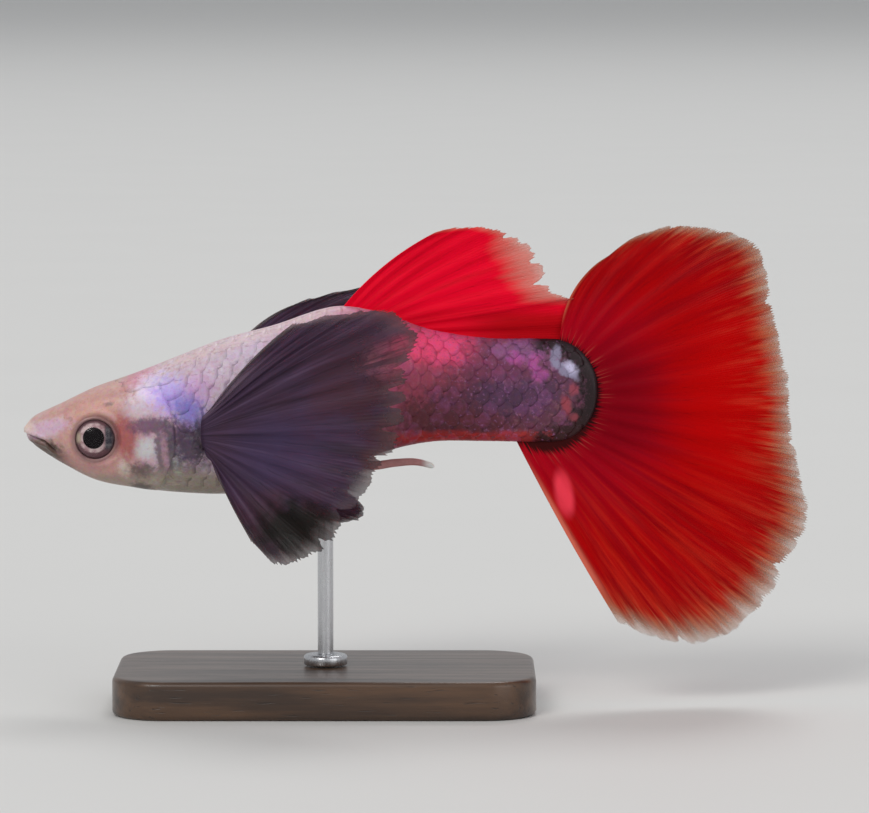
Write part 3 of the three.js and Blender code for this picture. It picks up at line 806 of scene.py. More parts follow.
def grown(piece, tree, name, values):
    """Runs a geometry tree on a piece and returns the result as a plain mesh under a name of its own."""
    modifier = piece.modifiers.new("grow", "NODES")
    modifier.node_group = tree
    for item in tree.interface.items_tree:
        if item.in_out == "INPUT" and item.name in values:
            modifier[item.identifier] = values[item.name]
    depsgraph = bpy.context.evaluated_depsgraph_get()
    mesh = bpy.data.meshes.new_from_object(piece.evaluated_get(depsgraph), depsgraph=depsgraph)
    mesh.name = name
    made = show(name, mesh)
    mesh.polygons.foreach_set("use_smooth", [True] * len(mesh.polygons))
    bpy.data.objects.remove(piece)
    if not len(mesh.polygons):
        raise RuntimeError(f"{name} came out empty")
    return made


def build_scales(settings, skin, material):
    mesh = bpy.data.meshes.new("scale_roots")
    mesh.from_pydata(scale_places(settings), [], [])
    roots, plate = show("scale_roots", mesh), scale_plate()
    # A scale is this much longer and wider than the gap between roots, and has this patch of the map
    overlap, patch = 1.75, 0.003
    scales = grown(roots, scales_tree(), "guppy_scales", {
        "Skin": skin,
        "Plate": plate,
        "Length": overlap * scale_spacing(settings) / BODY_LENGTH,
        "Width": overlap / settings.scale_rows,
        "Thickness": settings.scale_thickness,
        "Lift": settings.scale_lift,
        "Patch": patch,
        "Seed": SEED,
        "Material": material,
    })
    bpy.data.objects.remove(plate)
    return scales


class GUPPY_OT_skin_and_scales(bpy.types.Operator):
    """Makes the skin of the whole body and the scales that lie on it"""

    bl_idname = "guppy.skin_and_scales"
    bl_label = "Skin and scales"

    def execute(self, context):
        settings = context.scene.guppy_body
        markings = markings_tree()
        skin = build_skin(settings)
        scale_material = body_material("guppy scale", markings, tinted=True)
        scales = build_scales(settings, skin, scale_material)
        place_piece(skin, body_material("guppy skin", markings, tinted=False), "skin",
                    "head", "lower_jaw", "trunk", "tail_stem")
        place_piece(scales, scale_material, "skin")
        return {"FINISHED"}


# Eyes
class GuppyEyes(bpy.types.PropertyGroup):
    pupil_radius: length_setting("Pupil radius", "Radius of the pupil", 0.00062)
    pupil_forward: length_setting(
        "Pupil forward", "How far the pupil sits in front of the eye's middle", 0.00006)
    pupil_up: length_setting("Pupil up", "How far the pupil sits above the eye's middle", 0.0001)
    iris_ring: colour_setting("Iris ring", "Colour of the bright ring round the pupil", (0.80, 0.62, 0.62))


def iris_material(settings):
    """A black pupil, a bright ring round it, a pink iris with a slate rear part, and a dark rim."""
    material, p = new_material("guppy iris")
    pupil = settings.pupil_radius / MM
    from_pupil, rim = p.attribute("eye_map", "Vector"), p.attribute("eye_rim")
    backwards, upwards, _ = p.parts(from_pupil)
    place = p.fish_place()[0]
    fray = (p.noise(place, 5.0) - 0.5) * 0.16
    radius = p.vector("LENGTH", from_pupil) + fray
    colour = p.mix(p.noise(place, 7.0), (0.27, 0.135, 0.15), (0.13, 0.065, 0.085))
    ring = p.step(radius, pupil + 0.29, pupil + 0.15) * p.step(backwards, 0.75, 0.3, 0.55, 1.0)
    patchy = p.step(p.noise(place, 2.6, 2.0), 0.35, 0.62)
    colour = p.mix(ring, colour, p.mix(patchy, (0.46, 0.26, 0.29), settings.iris_ring))
    front = p.step(backwards, -0.62, -0.85) * p.step(p.math("ABSOLUTE", upwards), 0.45, 0.1)
    colour = p.mix(front * 0.85, colour, (0.62, 0.52, 0.38))
    slate = p.mix(p.step(p.noise(place, 3.5, 2.0), 0.4, 0.7), (0.065, 0.062, 0.080), (0.20, 0.19, 0.20))
    rear = p.step(backwards, 0.56, 0.74) * p.step(p.math("ABSOLUTE", upwards), 0.85, 0.5)
    colour = p.mix(rear, colour, slate)
    uneven = p.step(p.noise(place, 2.0, 2.0), 0.3, 0.7, 0.45, 0.85)
    colour = p.mix(p.step(rim, 0.95, 1.08) * uneven, colour, (0.12, 0.065, 0.075))
    in_pupil = p.step(p.vector("LENGTH", from_pupil), pupil + 0.02, pupil - 0.03)
    colour = p.mix(in_pupil, colour, (0.006, 0.004, 0.005))
    finish_material(p, {"Base Color": colour, "Roughness": 0.5, "Specular IOR Level": 0.1})
    return material


def cornea_material():
    """A clear wet film: nearly all the light goes through it, and the lamps show on it."""
    material, p = new_material("guppy cornea")
    film = p.bump(p.noise(p.fish_place()[0], 4.0, 2.0), 0.00001, 0.3)
    finish_material(p, {
        "Base Color": (0.008, 0.006, 0.008, 1.0), "Roughness": 0.05, "Alpha": 0.09,
        "Specular IOR Level": 0.5, "Normal": film,
    })
    return material


# The clear dome and the eyeball under it, and the angle at which their profiles are turned in
DOME_RADIUS, DOME_HEIGHT = 1.19, 0.79
BALL_RADIUS, BALL_DEPTH = 1.13, 0.72
LAST_ANGLE = 1.45


def dome(radius, gap=0.0):
    """Height of the cornea over the eye's middle plane, less a gap."""
    return (DOME_HEIGHT - gap) * math.sqrt(max(1.0 - (radius / (DOME_RADIUS - gap * 0.5)) ** 2, 0.0))


def eye_profile(settings):
    """Radius and height of the eyeball close under its cornea, from the lens in the pupil to the back."""
    pupil = settings.pupil_radius / MM
    gap = 0.045
    profile = [(r, dome(r, gap)) for r in (0.0, pupil * 0.35, pupil * 0.7, pupil * 0.92)]
    profile += [(pupil, dome(pupil, gap + 0.03)), (pupil + 0.05, dome(pupil + 0.05, gap + 0.01))]
    profile += [(r, dome(r, gap)) for r in np.linspace(pupil + 0.1, 1.12, 12)]
    around = np.linspace(0.0, LAST_ANGLE, 12)
    profile += [(BALL_RADIUS * math.cos(a), -BALL_DEPTH * math.sin(a)) for a in around]
    return [*profile, (0.0, -BALL_DEPTH)]


def cornea_profile():
    """A clear dome over the iris, with an inner wall close to it."""
    wall = 0.02
    outer, inner = np.linspace(0.0, LAST_ANGLE, 22), np.linspace(LAST_ANGLE, 0.0, 20)
    profile = [(DOME_RADIUS * math.sin(a), DOME_HEIGHT * math.cos(a)) for a in outer]
    radius, height = DOME_RADIUS - wall / 2, DOME_HEIGHT - wall
    return profile + [(radius * math.sin(a), height * math.cos(a)) for a in inner]


def rim_profile():
    """A round fold of skin that holds the eyeball, and a cup behind it that closes the socket."""
    behind = [(0.0, -0.86), (0.9, -0.62)]
    fold = [(1.34, 0.05), (1.37, 0.18), (1.345, 0.25), (1.30, 0.305), (1.24, 0.34)]
    lip = [(1.185, 0.345), (1.14, 0.325), (1.115, 0.28), (1.13, 0.2)]
    cup = [(1.18, 0.0), (0.86, -0.56), (0.0, -0.78)]
    return behind + fold + lip + cup


def rim_material(markings):
    """The dark mauve skin of the orbit's edge, going over into the skin round it."""
    material, p = new_material("guppy eye rim")
    skin = p.value("ShaderNodeGroup", {"Tint": 0.5}, "Color", node_tree=markings)
    place, x, _, z = p.fish_place()
    across = p.vector("SUBTRACT", p.joined(x, 0.0, z), (EYE[0], 0.0, EYE[2]))
    radius = p.vector("LENGTH", across)
    uneven = p.step(p.noise(place, 1.6, 2.0), 0.3, 0.7, 0.35, 0.8)
    dark = p.step(radius, 1.36, 1.16) * uneven
    colour = p.mix(dark, skin, (0.14, 0.07, 0.075))
    finish_material(p, {"Base Color": colour, "Roughness": 0.38, "Coat Weight": 0.15, "Coat Roughness": 0.2})
    return material


class GUPPY_OT_eyes(bpy.types.Operator):
    """Makes both eyeballs with their corneas and the folds of skin round them"""

    bl_idname = "guppy.eyes"
    bl_label = "Eyes"

    def execute(self, context):
        settings = context.scene.guppy_eyes
        iris, cornea = iris_material(settings), cornea_material()
        rim = rim_material(bpy.data.node_groups["Guppy markings"])
        forward, up = settings.pupil_forward / MM, settings.pupil_up / MM
        sides = 96
        for name, side in (("left", -1), ("right", 1)):
            centre = EYE * (1, side, 1)
            out = (0.0, side, 0.0)
            ball = turned_piece(f"eyeball_{name}", eye_profile(settings), centre, out, sides)
            clear = turned_piece(f"cornea_{name}", cornea_profile(), centre, out, sides)
            fold = turned_piece(f"eye_rim_{name}", rim_profile(), centre, out, sides)
            # The iris is painted by the place seen from the pupil, and by the distance from the eye's middle
            local = to_fish([v.co for v in ball.data.vertices]) - centre
            radius = np.hypot(local[:, 0], local[:, 2])
            radius = np.where(local[:, 1] * side < 0, EYE_RADIUS, radius)
            eye_map = [local[:, 0] + forward, local[:, 2] - up, np.zeros_like(radius)]
            store(ball, "eye_map", np.stack(eye_map, 1))
            store(ball, "eye_rim", np.stack([radius, radius, radius], 1))
            place_piece(ball, iris, "eye", f"eye_{name}")
            place_piece(clear, cornea, "eye")
            place_piece(fold, rim, "skin")
        return {"FINISHED"}


# Fins
def through(points, samples=400):
    """A smooth curve through points, as evenly numbered samples (centripetal Catmull-Rom)."""
    points = np.asarray(points, float)
    ends = np.concatenate([[2 * points[0] - points[1]], points, [2 * points[-1] - points[-2]]])
    count = len(points) - 1
    t = np.linspace(0.0, count, samples)
    i = np.minimum(t.astype(int), count - 1)
    w = (t - i)[:, None]
    p0, p1, p2, p3 = ends[i], ends[i + 1], ends[i + 2], ends[i + 3]
    d0, d1, d2 = (np.maximum(np.linalg.norm(b - a, axis=1), 1e-9)[:, None] ** 0.5
                  for a, b in ((p0, p1), (p1, p2), (p2, p3)))
    m1 = ((p1 - p0) / d0 - (p2 - p0) / (d0 + d1) + (p2 - p1) / d1) * d1
    m2 = ((p2 - p1) / d1 - (p3 - p1) / (d1 + d2) + (p3 - p2) / d2) * d1
    return (
        (2 * w**3 - 3 * w**2 + 1) * p1 + (w**3 - 2 * w**2 + w) * m1
        + (3 * w**2 - 2 * w**3) * p2 + (w**3 - w**2) * m2
    )


def by_share(samples, share):
    """Points at shares of the samples' count."""
    place = np.linspace(0.0, 1.0, len(samples))
    return np.stack([np.interp(share, place, samples[:, k]) for k in range(3)], -1)


def by_length(samples, share):
    """Points at shares of the curve's length."""
    step = np.linalg.norm(np.diff(samples, axis=0), axis=1)
    place = np.concatenate([[0.0], np.cumsum(step)]) / step.sum()
    return np.stack([np.interp(share, place, samples[:, k]) for k in range(3)], -1)


def ripple(share, knots, seed):
    """Smooth random values from 0 to 1 along a share."""
    values = np.random.default_rng(seed).random(knots + 2)
    t = np.clip(share, 0.0, 1.0) * knots
    i = np.minimum(t.astype(int), knots)
    w = t - i
    w = w * w * (3 - 2 * w)
    return values[i] * (1 - w) + values[i + 1] * w


class Fin:
    """A fin's surface: bowed rays from a root line to a margin, folded and pleated, with frayed tips."""

    def __init__(self, name, root, margin, bow, spread, rays, splits, seed, side=0, lift=0.0, hinge=(0, 0),
                 pleat=0.05, notch=0.03, clefts=(), root_thickness=0.22, edge_thickness=0.035, tip=0.012):
        self.name, self.rays, self.splits, self.seed = name, rays, splits, seed
        self.root, self.margin = through(root), through(margin, 1600)
        self.bow, self.spread, self.side, self.lift, self.hinge = bow, spread, side, lift, hinge
        self.pleat, self.notch, self.clefts, self.tip = pleat, notch, clefts, tip
        self.root_thickness, self.edge_thickness = root_thickness, edge_thickness
        self.branches = rays * 2 ** len(splits)

    def place(self, u, v):
        """The middle of the sheet without pleats."""
        start, end = by_share(self.root, u), by_length(self.margin, u)
        ray = end - start
        aside = np.stack([-ray[..., 2], np.zeros_like(u), ray[..., 0]], -1)
        bend = (start + end) / 2 + aside * self.bow(u)[..., None]
        w = v[..., None]
        point = (1 - w) ** 2 * start + 2 * w * (1 - w) * bend + w**2 * end
        point[..., 1] += self.spread(u, v)
        if self.lift:
            x, z = point[..., 0] - self.hinge[0], point[..., 2] - self.hinge[1]
            c, s = math.cos(self.lift), math.sin(self.lift)
            point[..., 0], point[..., 2] = self.hinge[0] + c * x - s * z, self.hinge[1] + s * x + c * z
        if self.side > 0:
            point[..., 1] *= -1
        return point

    def normal(self, u, v):
        d = 1e-3
        across = self.place(np.minimum(u + d, 1.0), v) - self.place(np.maximum(u - d, 0.0), v)
        out = self.place(u, v + d) - self.place(u, np.maximum(v - d, 0.0))
        n = np.cross(across, out)
        return n / np.maximum(np.linalg.norm(n, axis=-1, keepdims=True), 1e-12)

    def crest(self, u, v):
        """How far the pleats stand out: coarse ones on the rays, fine ones on their branches."""
        coarse = np.cos(2 * np.pi * self.rays * u) * smooth(v, 0.0, 0.25)
        fine = np.cos(2 * np.pi * self.branches * u) * smooth(v, 0.45, 0.9)
        wander = (ripple(u, 9, self.seed + 1) - 0.5) * 6.0 * smooth(v, 0.3, 1.0)
        return self.pleat * (coarse + 0.35 * fine + wander)

    def surface(self, u, v):
        return self.place(u, v) + self.normal(u, v) * self.crest(u, v)[..., None]

    def edge(self, u):
        """Where the membrane ends, as a share of the ray: notched between branches, torn at the clefts."""
        between = 0.5 - 0.5 * np.cos(2 * np.pi * self.branches * u)
        uneven = ripple(u, self.branches, self.seed + 2) ** 2 + 0.1
        worn = self.notch * (0.7 * ripple(u, 26, self.seed + 3) + 0.5 * ripple(u, 71, self.seed + 4))
        torn = sum(depth * bell(u - at, width) for at, depth, width in self.clefts)
        return 1.0 - self.notch * between * uneven - worn - torn

    def membrane(self, name, per_branch=3, out=36):
        across = self.branches * per_branch
        u, v = np.meshgrid(np.linspace(0, 1, across + 1), np.linspace(0, 1, out + 1), indexing="ij")
        v = v * self.edge(u)
        middle, normal = self.surface(u, v), self.normal(u, v)
        thin = smooth(v, 0.0, 0.5)
        half = (self.root_thickness * (1 - thin) + self.edge_thickness * thin) / 2
        half = half * (1 - 0.6 * smooth(v / self.edge(u), 0.93, 1.0))
        top, under = middle + normal * half[..., None], middle - normal * half[..., None]
        if self.side > 0:
            top, under = under, top
        piece = closed_sheet(name, top, under)
        share = np.stack([u, v, np.zeros_like(u)], -1).reshape(-1, 3)
        store(piece, "fin_map", np.concatenate([share, share]))
        return piece

    def ray_lines(self):
        """Every ray and branch as a row of shares (across, out) with its half thickness."""
        lines = []
        tips = np.random.default_rng(self.seed)
        stops = [0.0, *self.splits, 1.0 + self.tip]
        root_half, thinning, root_points, branch_points = 0.062, 0.62, 14, 9
        for level in range(len(stops) - 1):
            count = self.rays * 2**level
            start, stop = stops[level], stops[level + 1]
            v = np.linspace(start, stop, branch_points if level else root_points)
            thick = root_half * thinning**level
            for n in range(count):
                middle = (n + 0.5) / count
                parent = (n // 2 + 0.5) / (count // 2) if level else middle
                lean = smooth(v, start, min(start + 0.12, stop)) if level else np.ones_like(v)
                u = parent + (middle - parent) * lean
                radius = thick * (1 - 0.45 * (v - start) / (stop - start))
                out = v
                if level == len(stops) - 2:
                    ends_at = self.edge(np.full(1, middle))[0] + self.tip * tips.uniform(-0.5, 1.0)
                    out = start + (v - start) * (ends_at - start) / (stop - start)
                    radius = radius * (1 - 0.7 * smooth(v, stop - 0.1, stop))
                lines.append((u, out, radius))
        return lines


class GuppyFins(bpy.types.PropertyGroup):
    ray_scale: FloatProperty(name="Ray thickness", description="Share of the drawn thickness of the fin rays",
                             default=1.0, min=0.1, max=3.0)
    ray_sides: IntProperty(name="Ray sides", description="Facets round a fin ray", default=6)
    red: colour_setting("Red", "Red of the tail and dorsal fins", (0.40, 0.0, 0.001))
    violet: colour_setting("Violet", "Dark violet of the pectoral fins", (0.068, 0.037, 0.077))


def rays_tree():
    """Turns lines of ray points, with a radius on each, into round tapering rays."""
    inputs = {"Lines": "Geometry", "Thickness": "Float", "Sides": "Int", "Material": "Material"}
    tree, p = new_tree("Guppy fin rays", "GeometryNodeTree", inputs, {"Rays": "Geometry"})
    given = p.given()
    curve = p.value("GeometryNodeMeshToCurve", {"Mesh": given["Lines"]})
    profile = p.value("GeometryNodeCurvePrimitiveCircle", {"Resolution": given["Sides"], "Radius": 1.0})
    stored = {"Name": "ray_radius"}
    radius = p.named_value("GeometryNodeInputNamedAttribute", stored, data_type="FLOAT_VECTOR")
    size = p.parts(radius)[0] * given["Thickness"]
    tube = p.value("GeometryNodeCurveToMesh", {
        "Curve": curve, "Profile Curve": profile, "Fill Caps": True, "Scale": size,
    })
    finish_growth(p, tube, given["Material"])
    return tree


def build_rays(fin, name, settings, material, tree):
    lines = fin.ray_lines()
    points, edges, shares, radii = [], [], [], []
    for u, v, radius in lines:
        start = sum(map(len, points))
        points.append(fin.surface(u, v))
        edges += [(start + k, start + k + 1) for k in range(len(u) - 1)]
        shares.append(np.stack([u, v, np.ones_like(u)], -1))
        radii.append(radius)
    piece = new_object(f"{name}_lines", np.concatenate(points), [])
    piece.data.edges.add(len(edges))
    piece.data.edges.foreach_set("vertices", np.array(edges).ravel())
    piece.data.update()
    store(piece, "fin_map", np.concatenate(shares))
    radii = np.concatenate(radii) * MM
    store(piece, "ray_radius", np.stack([radii, radii, radii], 1))
    return grown(piece, tree, name, {
        "Thickness": settings.ray_scale, "Sides": settings.ray_sides, "Material": material,
    })


def fin_map(p):
    """Shares across and out, and 1 on a ray."""
    place = p.attribute("fin_map", "Vector")
    return place, *p.parts(place)


def streak(p, share_map, across, out, low, high):
    """Streaks that run out along the rays."""
    return p.step(p.grain(share_map, (across, out, 0.0), 4.0, 0.6), low, high)


def fin_shader(p, colour, alpha, share_map, roughness=0.42, gloss=0.04):
    normal = p.bump(p.grain(share_map, (300.0, 8.0, 0.0), 2.0), 0.00002, 0.6)
    finish_material(p, {
        "Base Color": colour, "Alpha": alpha, "Roughness": roughness, "Normal": normal,
        "Specular IOR Level": gloss, "Subsurface Weight": 0.08, "Subsurface Scale": 0.0002,
    })


def tail_fin_material(settings):
    material, p = new_material("guppy tail fin")
    share_map, u, v, ray = fin_map(p)
    _, x, _, z = p.fish_place()
    flat = p.joined(x, 0.0, z)
    colour = p.mix(streak(p, share_map, 46.0, 1.6, 0.35, 0.7), settings.red, (0.26, 0.0, 0.003))
    root_side = p.step(v, 0.55, 0.1)
    colour = p.mix(root_side * 0.6, colour, (0.40, 0.0, 0.014))
    shaded = p.step(v, 0.6, 0.15) * p.blob(flat, (34.0, 1.5), (4.2, 3.4), 0, 1.1)
    colour = p.mix(shaded * 0.8, colour, (0.17, 0.0, 0.005))
    bright = p.blob(flat, (41.0, 1.5), (3.6, 5.5), 0, 1.2)
    colour = p.mix(bright * 0.8, colour, (0.50, 0.0, 0.0))
    # The lower lobe and the margins turn to coral, in streaks
    lower = p.step(z, 0.0, -7.0) * streak(p, share_map, 70.0, 2.2, 0.42, 0.72)
    colour = p.mix(lower * 0.6, colour, (0.54, 0.020, 0.008))
    upper = p.step(v, 0.6, 0.9) * streak(p, share_map, 90.0, 3.0, 0.45, 0.7)
    colour = p.mix(upper * 0.55, colour, (0.56, 0.05, 0.022))
    pink = p.blob(flat, (30.85, -3.75), (0.5, 1.25), 12, 0.8)
    colour = p.mix(pink * 0.9, colour, (0.88, 0.05, 0.085))
    # Edges: a pale line down the lower front, an orange one up the leading edge, and a clear fringe
    front_low = p.step(u, 0.976, 0.996) * p.step(v, 0.05, 0.4)
    colour = p.mix(front_low * 0.8, colour, (0.68, 0.17, 0.11))
    leading = p.step(u, 0.02, 0.004) * p.step(v, 0.15, 0.4)
    colour = p.mix(leading * 0.6, colour, (0.55, 0.13, 0.07))
    worn = (p.grain(share_map, (60.0, 1.0, 0.0), 4.0) - 0.5) * 0.16
    reach = v + worn + p.step(u, 0.45, 0.9, 0.0, 0.03)
    brown = p.step(reach, 0.72, 0.92) * streak(p, share_map, 110.0, 2.0, 0.42, 0.62)
    colour = p.mix(brown * 0.45, colour, (0.20, 0.014, 0.006))
    coral = p.step(reach, 0.80, 0.95) * streak(p, share_map, 140.0, 2.5, 0.45, 0.6)
    colour = p.mix(coral * 0.7, colour, (0.56, 0.13, 0.055))
    fringe = p.step(reach, 0.86, 1.0)
    colour = p.mix(fringe * 0.8, colour, (0.44, 0.25, 0.14))
    tip_dark = p.step(reach, 0.9, 1.0) * streak(p, share_map, 150.0, 2.0, 0.52, 0.62)
    colour = p.mix(tip_dark * 0.5, colour, (0.14, 0.07, 0.03))
    # The black ring of the tail stem runs out onto the fin in short dark and pale streaks
    jag = p.grain(share_map, (95.0, 0.3, 0.0), 2.0) - 0.5
    ring = p.blob(flat, RING_OUTER, RING_OUTER_RADII, 0, 0.12, jag * 0.6)
    pale = p.blob(flat, RING_OUTER, [radius + 0.5 for radius in RING_OUTER_RADII], 0, 0.3)
    pale = pale * streak(p, share_map, 80.0, 0.3, 0.52, 0.62)
    colour = p.mix(pale * 0.4, colour, (0.45, 0.10, 0.07))
    colour = p.mix(ring * 0.97, colour, p.mix(p.step(z, 1.0, -0.6), RING_BLACK, RING_BROWN))
    colour = p.mix(ray * p.step(v, 0.1, 0.5, 0.0, 0.35), colour, (0.19, 0.0, 0.004))
    tip = p.step(reach, 0.93, 1.03)
    alpha = 1.0 - (fringe * 0.45 + tip * 0.35)
    fin_shader(p, colour, alpha, share_map)
    return material


def dorsal_fin_material():
    material, p = new_material("guppy dorsal fin")
    share_map, _, v, ray = fin_map(p)
    _, x, _, z = p.fish_place()
    colour = p.mix(streak(p, share_map, 26.0, 1.5, 0.4, 0.75), (0.86, 0.001, 0.024), (0.64, 0.001, 0.014))
    low = p.step(z, 7.2, 6.2)
    colour = p.mix(low * p.step(x, 24.0, 28.0, 0.3, 0.9), colour, (0.40, 0.001, 0.004))
    shred = (p.grain(share_map, (24.0, 2.0, 0.0), 4.0) - 0.5) * 2.2
    rearward = x + z * 0.45 + shred
    pale = p.step(rearward, 31.0, 33.2) * p.step(z + shred * 0.2, 6.9, 7.7)
    colour = p.mix(pale * 0.85, colour, (0.74, 0.22, 0.17))
    rim = p.step(v + shred * 0.03, 0.9, 1.0) * p.step(z, 6.6, 7.8)
    colour = p.mix(rim * 0.5, colour, (0.66, 0.34, 0.24))
    colour = p.mix(ray * p.step(v, 0.1, 0.5, 0.0, 0.25), colour, (0.36, 0.003, 0.012))
    clear = pale * (rim * 0.3 + 0.3)
    fin_shader(p, colour, 1.0 - clear, share_map)
    return material


def dark_fin_material(name, settings, olive_low):
    material, p = new_material(name)
    share_map, u, v, ray = fin_map(p)
    place, x, _, z = p.fish_place()
    flat = p.joined(x, 0.0, z)
    colour = p.mix(streak(p, share_map, 22.0, 1.2, 0.3, 0.7), settings.violet, (0.028, 0.015, 0.030))
    mauve = streak(p, share_map, 30.0, 1.0, 0.52, 0.72)
    colour = p.mix(mauve * 0.75, colour, (0.105, 0.065, 0.120))
    maroon = p.step(p.noise(place, 0.35, 2.0), 0.42, 0.62) * p.step(v, 0.3, 0.9, 0.2, 0.9)
    maroon = maroon * p.step(u, 0.15, 0.4)
    colour = p.mix(maroon, colour, (0.058, 0.020, 0.028))
    indigo = p.blob(flat, (14.6, -0.8), (2.6, 1.6), 20, 1.4) * 0.45
    colour = p.mix(indigo, colour, (0.046, 0.033, 0.095))
    front_band = p.step(u, 0.16, 0.04) * p.step(v, 0.65, 0.3)
    colour = p.mix(front_band * 0.75, colour, (0.19, 0.125, 0.185))
    if olive_low:
        deep = p.blob(flat, (16.2, -5.3), (2.9, 1.7), -12, 0.9, p.noise(place, 1.4) - 0.5)
        colour = p.mix(deep * 0.95, colour, (0.004, 0.0035, 0.002))
    edge = p.math("MAXIMUM", p.step(u, 0.035, 0.006), p.step(u, 0.955, 0.993))
    edge = edge * p.step(v, 0.12, 0.4)
    worn = (p.grain(share_map, (40.0, 1.0, 0.0), 4.0) - 0.5) * 0.2
    fringe = p.step(v + worn, 0.82, 0.99)
    grey = p.math("MAXIMUM", edge * 0.7, fringe * 0.5)
    colour = p.mix(grey, colour, (0.14, 0.11, 0.11))
    colour = p.mix(ray * 0.3, colour, (0.016, 0.008, 0.014))
    clear = p.math("MAXIMUM", edge * 0.3, fringe * 0.48)
    veil = p.step(v, 0.55, 0.95, 0.0, 0.3) * streak(p, share_map, 24.0, 1.0, 0.35, 0.65)
    leading = p.step(u, 0.12, 0.02) * p.step(v, 0.55, 0.2, 0.0, 0.3)
    clear = p.math("MAXIMUM", clear, p.math("MAXIMUM", veil, leading))
    if olive_low:
        thin = p.blob(flat, (21.4, 4.5), (2.0, 1.6), 0, 1.0, p.noise(place, 1.6) - 0.5)
        thin = thin * streak(p, share_map, 34.0, 1.0, 0.30, 0.55)
        clear = p.math("MAXIMUM", clear, thin * 0.62)
    fin_shader(p, colour, 1.0 - clear, share_map, 0.5, 0.12)
    return material


def side_line(points, depth=lambda x, z: 0.0):
    return [(x, depth(x, z), z) for x, z in points]


def blend(start, end):
    """A value that runs evenly from start to end across a fin."""
    return lambda u: start + (end - start) * u


def tail_fin():
    fold, folds = 0.75, 1.5
    root = [(30.6, 4.7), (31.4, 3.9), (31.9, 2.2), (31.5, 0.4), (30.2, -0.4), (28.0, -0.5)]
    margin = [
        (33.0, 9.6), (34.6, 10.7), (37.2, 11.6), (40.0, 11.4), (42.1, 10.5), (42.9, 7.4), (43.7, 3.0),
        (44.2, -1.2), (45.0, -5.4), (43.2, -9.4), (40.8, -12.1), (37.6, -12.6), (34.0, -11.3),
    ]
    return Fin(
        "tail_fin", side_line(root), side_line(margin),
        bow=lambda u: 0.26 - 0.28 * np.minimum(2.5 * u, 1.0),
        spread=lambda u, v: fold * v * v * np.sin(2 * np.pi * (folds * u + 0.15)),
        rays=17, splits=(0.26, 0.48, 0.68, 0.85), seed=11, pleat=0.055, notch=0.03,
        clefts=((0.12, 0.02, 0.004), (0.315, 0.03, 0.005), (0.52, 0.02, 0.004),
                (0.71, 0.035, 0.006), (0.9, 0.03, 0.005)),
    )


def dorsal_fin():
    lean = 0.3
    root = [(x, float(back_at(np.array(x))) - 0.5) for x in (17.9, 19.4, 21.0, 22.6)]
    margin = [
        (23.7, 11.3), (26.2, 11.6), (28.2, 11.0), (29.6, 9.9), (29.9, 8.7), (30.9, 7.6), (32.2, 7.3),
        (32.5, 6.2), (31.6, 4.9),
    ]
    return Fin(
        "dorsal_fin", side_line(root), side_line(margin),
        bow=lambda u: 0.12 - 0.13 * smooth(u, 0.0, 0.9),
        spread=lambda u, v: lean * v * np.sin(2 * np.pi * (u - 0.1)) * smooth(u, 1.0, 0.7)
        + 0.32 * smooth(u, 0.55, 0.85) * smooth(v, 0.4, 0.95),
        rays=8, splits=(0.3, 0.55, 0.78), seed=23, pleat=0.05, notch=0.04,
        clefts=((0.33, 0.05, 0.012), (0.5, 0.06, 0.012), (0.6, 0.07, 0.014), (0.77, 0.05, 0.012)),
    )


def pectoral_fin(side):
    flare = 5.2

    def spread(u, v):
        return -flare * (1 - (1 - np.minimum(v, 1.0)) ** 1.6) * (0.72 + 0.28 * np.sin(np.pi * u))

    root = [(10.45, 0.85), (10.3, 0.2), (10.35, -0.5), (10.6, -1.15)]
    margin = [
        (15.6, 6.5), (18.6, 7.2), (21.6, 7.3), (22.8, 6.1), (22.4, 4.0), (22.1, 1.9), (21.6, -0.4),
        (20.4, -2.0), (18.7, -4.4), (17.3, -6.3), (14.9, -7.2), (13.2, -5.8),
    ]
    stand_off = half_at(np.array(root[1][0])) + 0.35
    return Fin(
        "pectoral_fin", side_line(root, lambda x, z: -float(side_at(np.array(x), np.array(z))) - 0.1),
        side_line(margin, lambda x, z: -stand_off),
        bow=blend(0.09 if side < 0 else 0.27, -0.04),
        spread=spread,
        rays=14, splits=(0.34, 0.6, 0.82), seed=31 if side < 0 else 47, side=side,
        lift=0.0 if side < 0 else math.radians(2), hinge=root[1], pleat=0.06, notch=0.04,
        clefts=((0.36, 0.05, 0.006), (0.41, 0.09, 0.006), (0.45, 0.06, 0.005), (0.5, 0.10, 0.007),
                (0.57, 0.05, 0.006), (0.72, 0.07, 0.008), (0.8, 0.05, 0.007)),
        root_thickness=0.35,
    )


def pelvic_fin(side):
    root = [(x, float(belly_at(np.array(x))) + 0.15) for x in (14.7, 15.1, 15.5, 15.9)]
    margin = [(16.4, -5.1), (18.6, -5.3), (19.6, -4.9), (19.0, -4.1), (17.9, -3.5)]
    return Fin(
        "pelvic_fin", side_line(root, lambda x, z: -0.7), side_line(margin, lambda x, z: -0.75),
        bow=lambda u: np.full_like(u, -0.08),
        spread=lambda u, v: -0.7 * v,
        rays=6, splits=(0.5,), seed=61, side=side, pleat=0.03, notch=0.06, root_thickness=0.15,
    )


def make_fin(fin, name, settings, material, tree, slot, node):
    membrane = fin.membrane(f"{name}_membrane")
    rays = build_rays(fin, f"{name}_rays", settings, material, tree)
    place_piece(membrane, material, slot, node)
    place_piece(rays, material, slot)


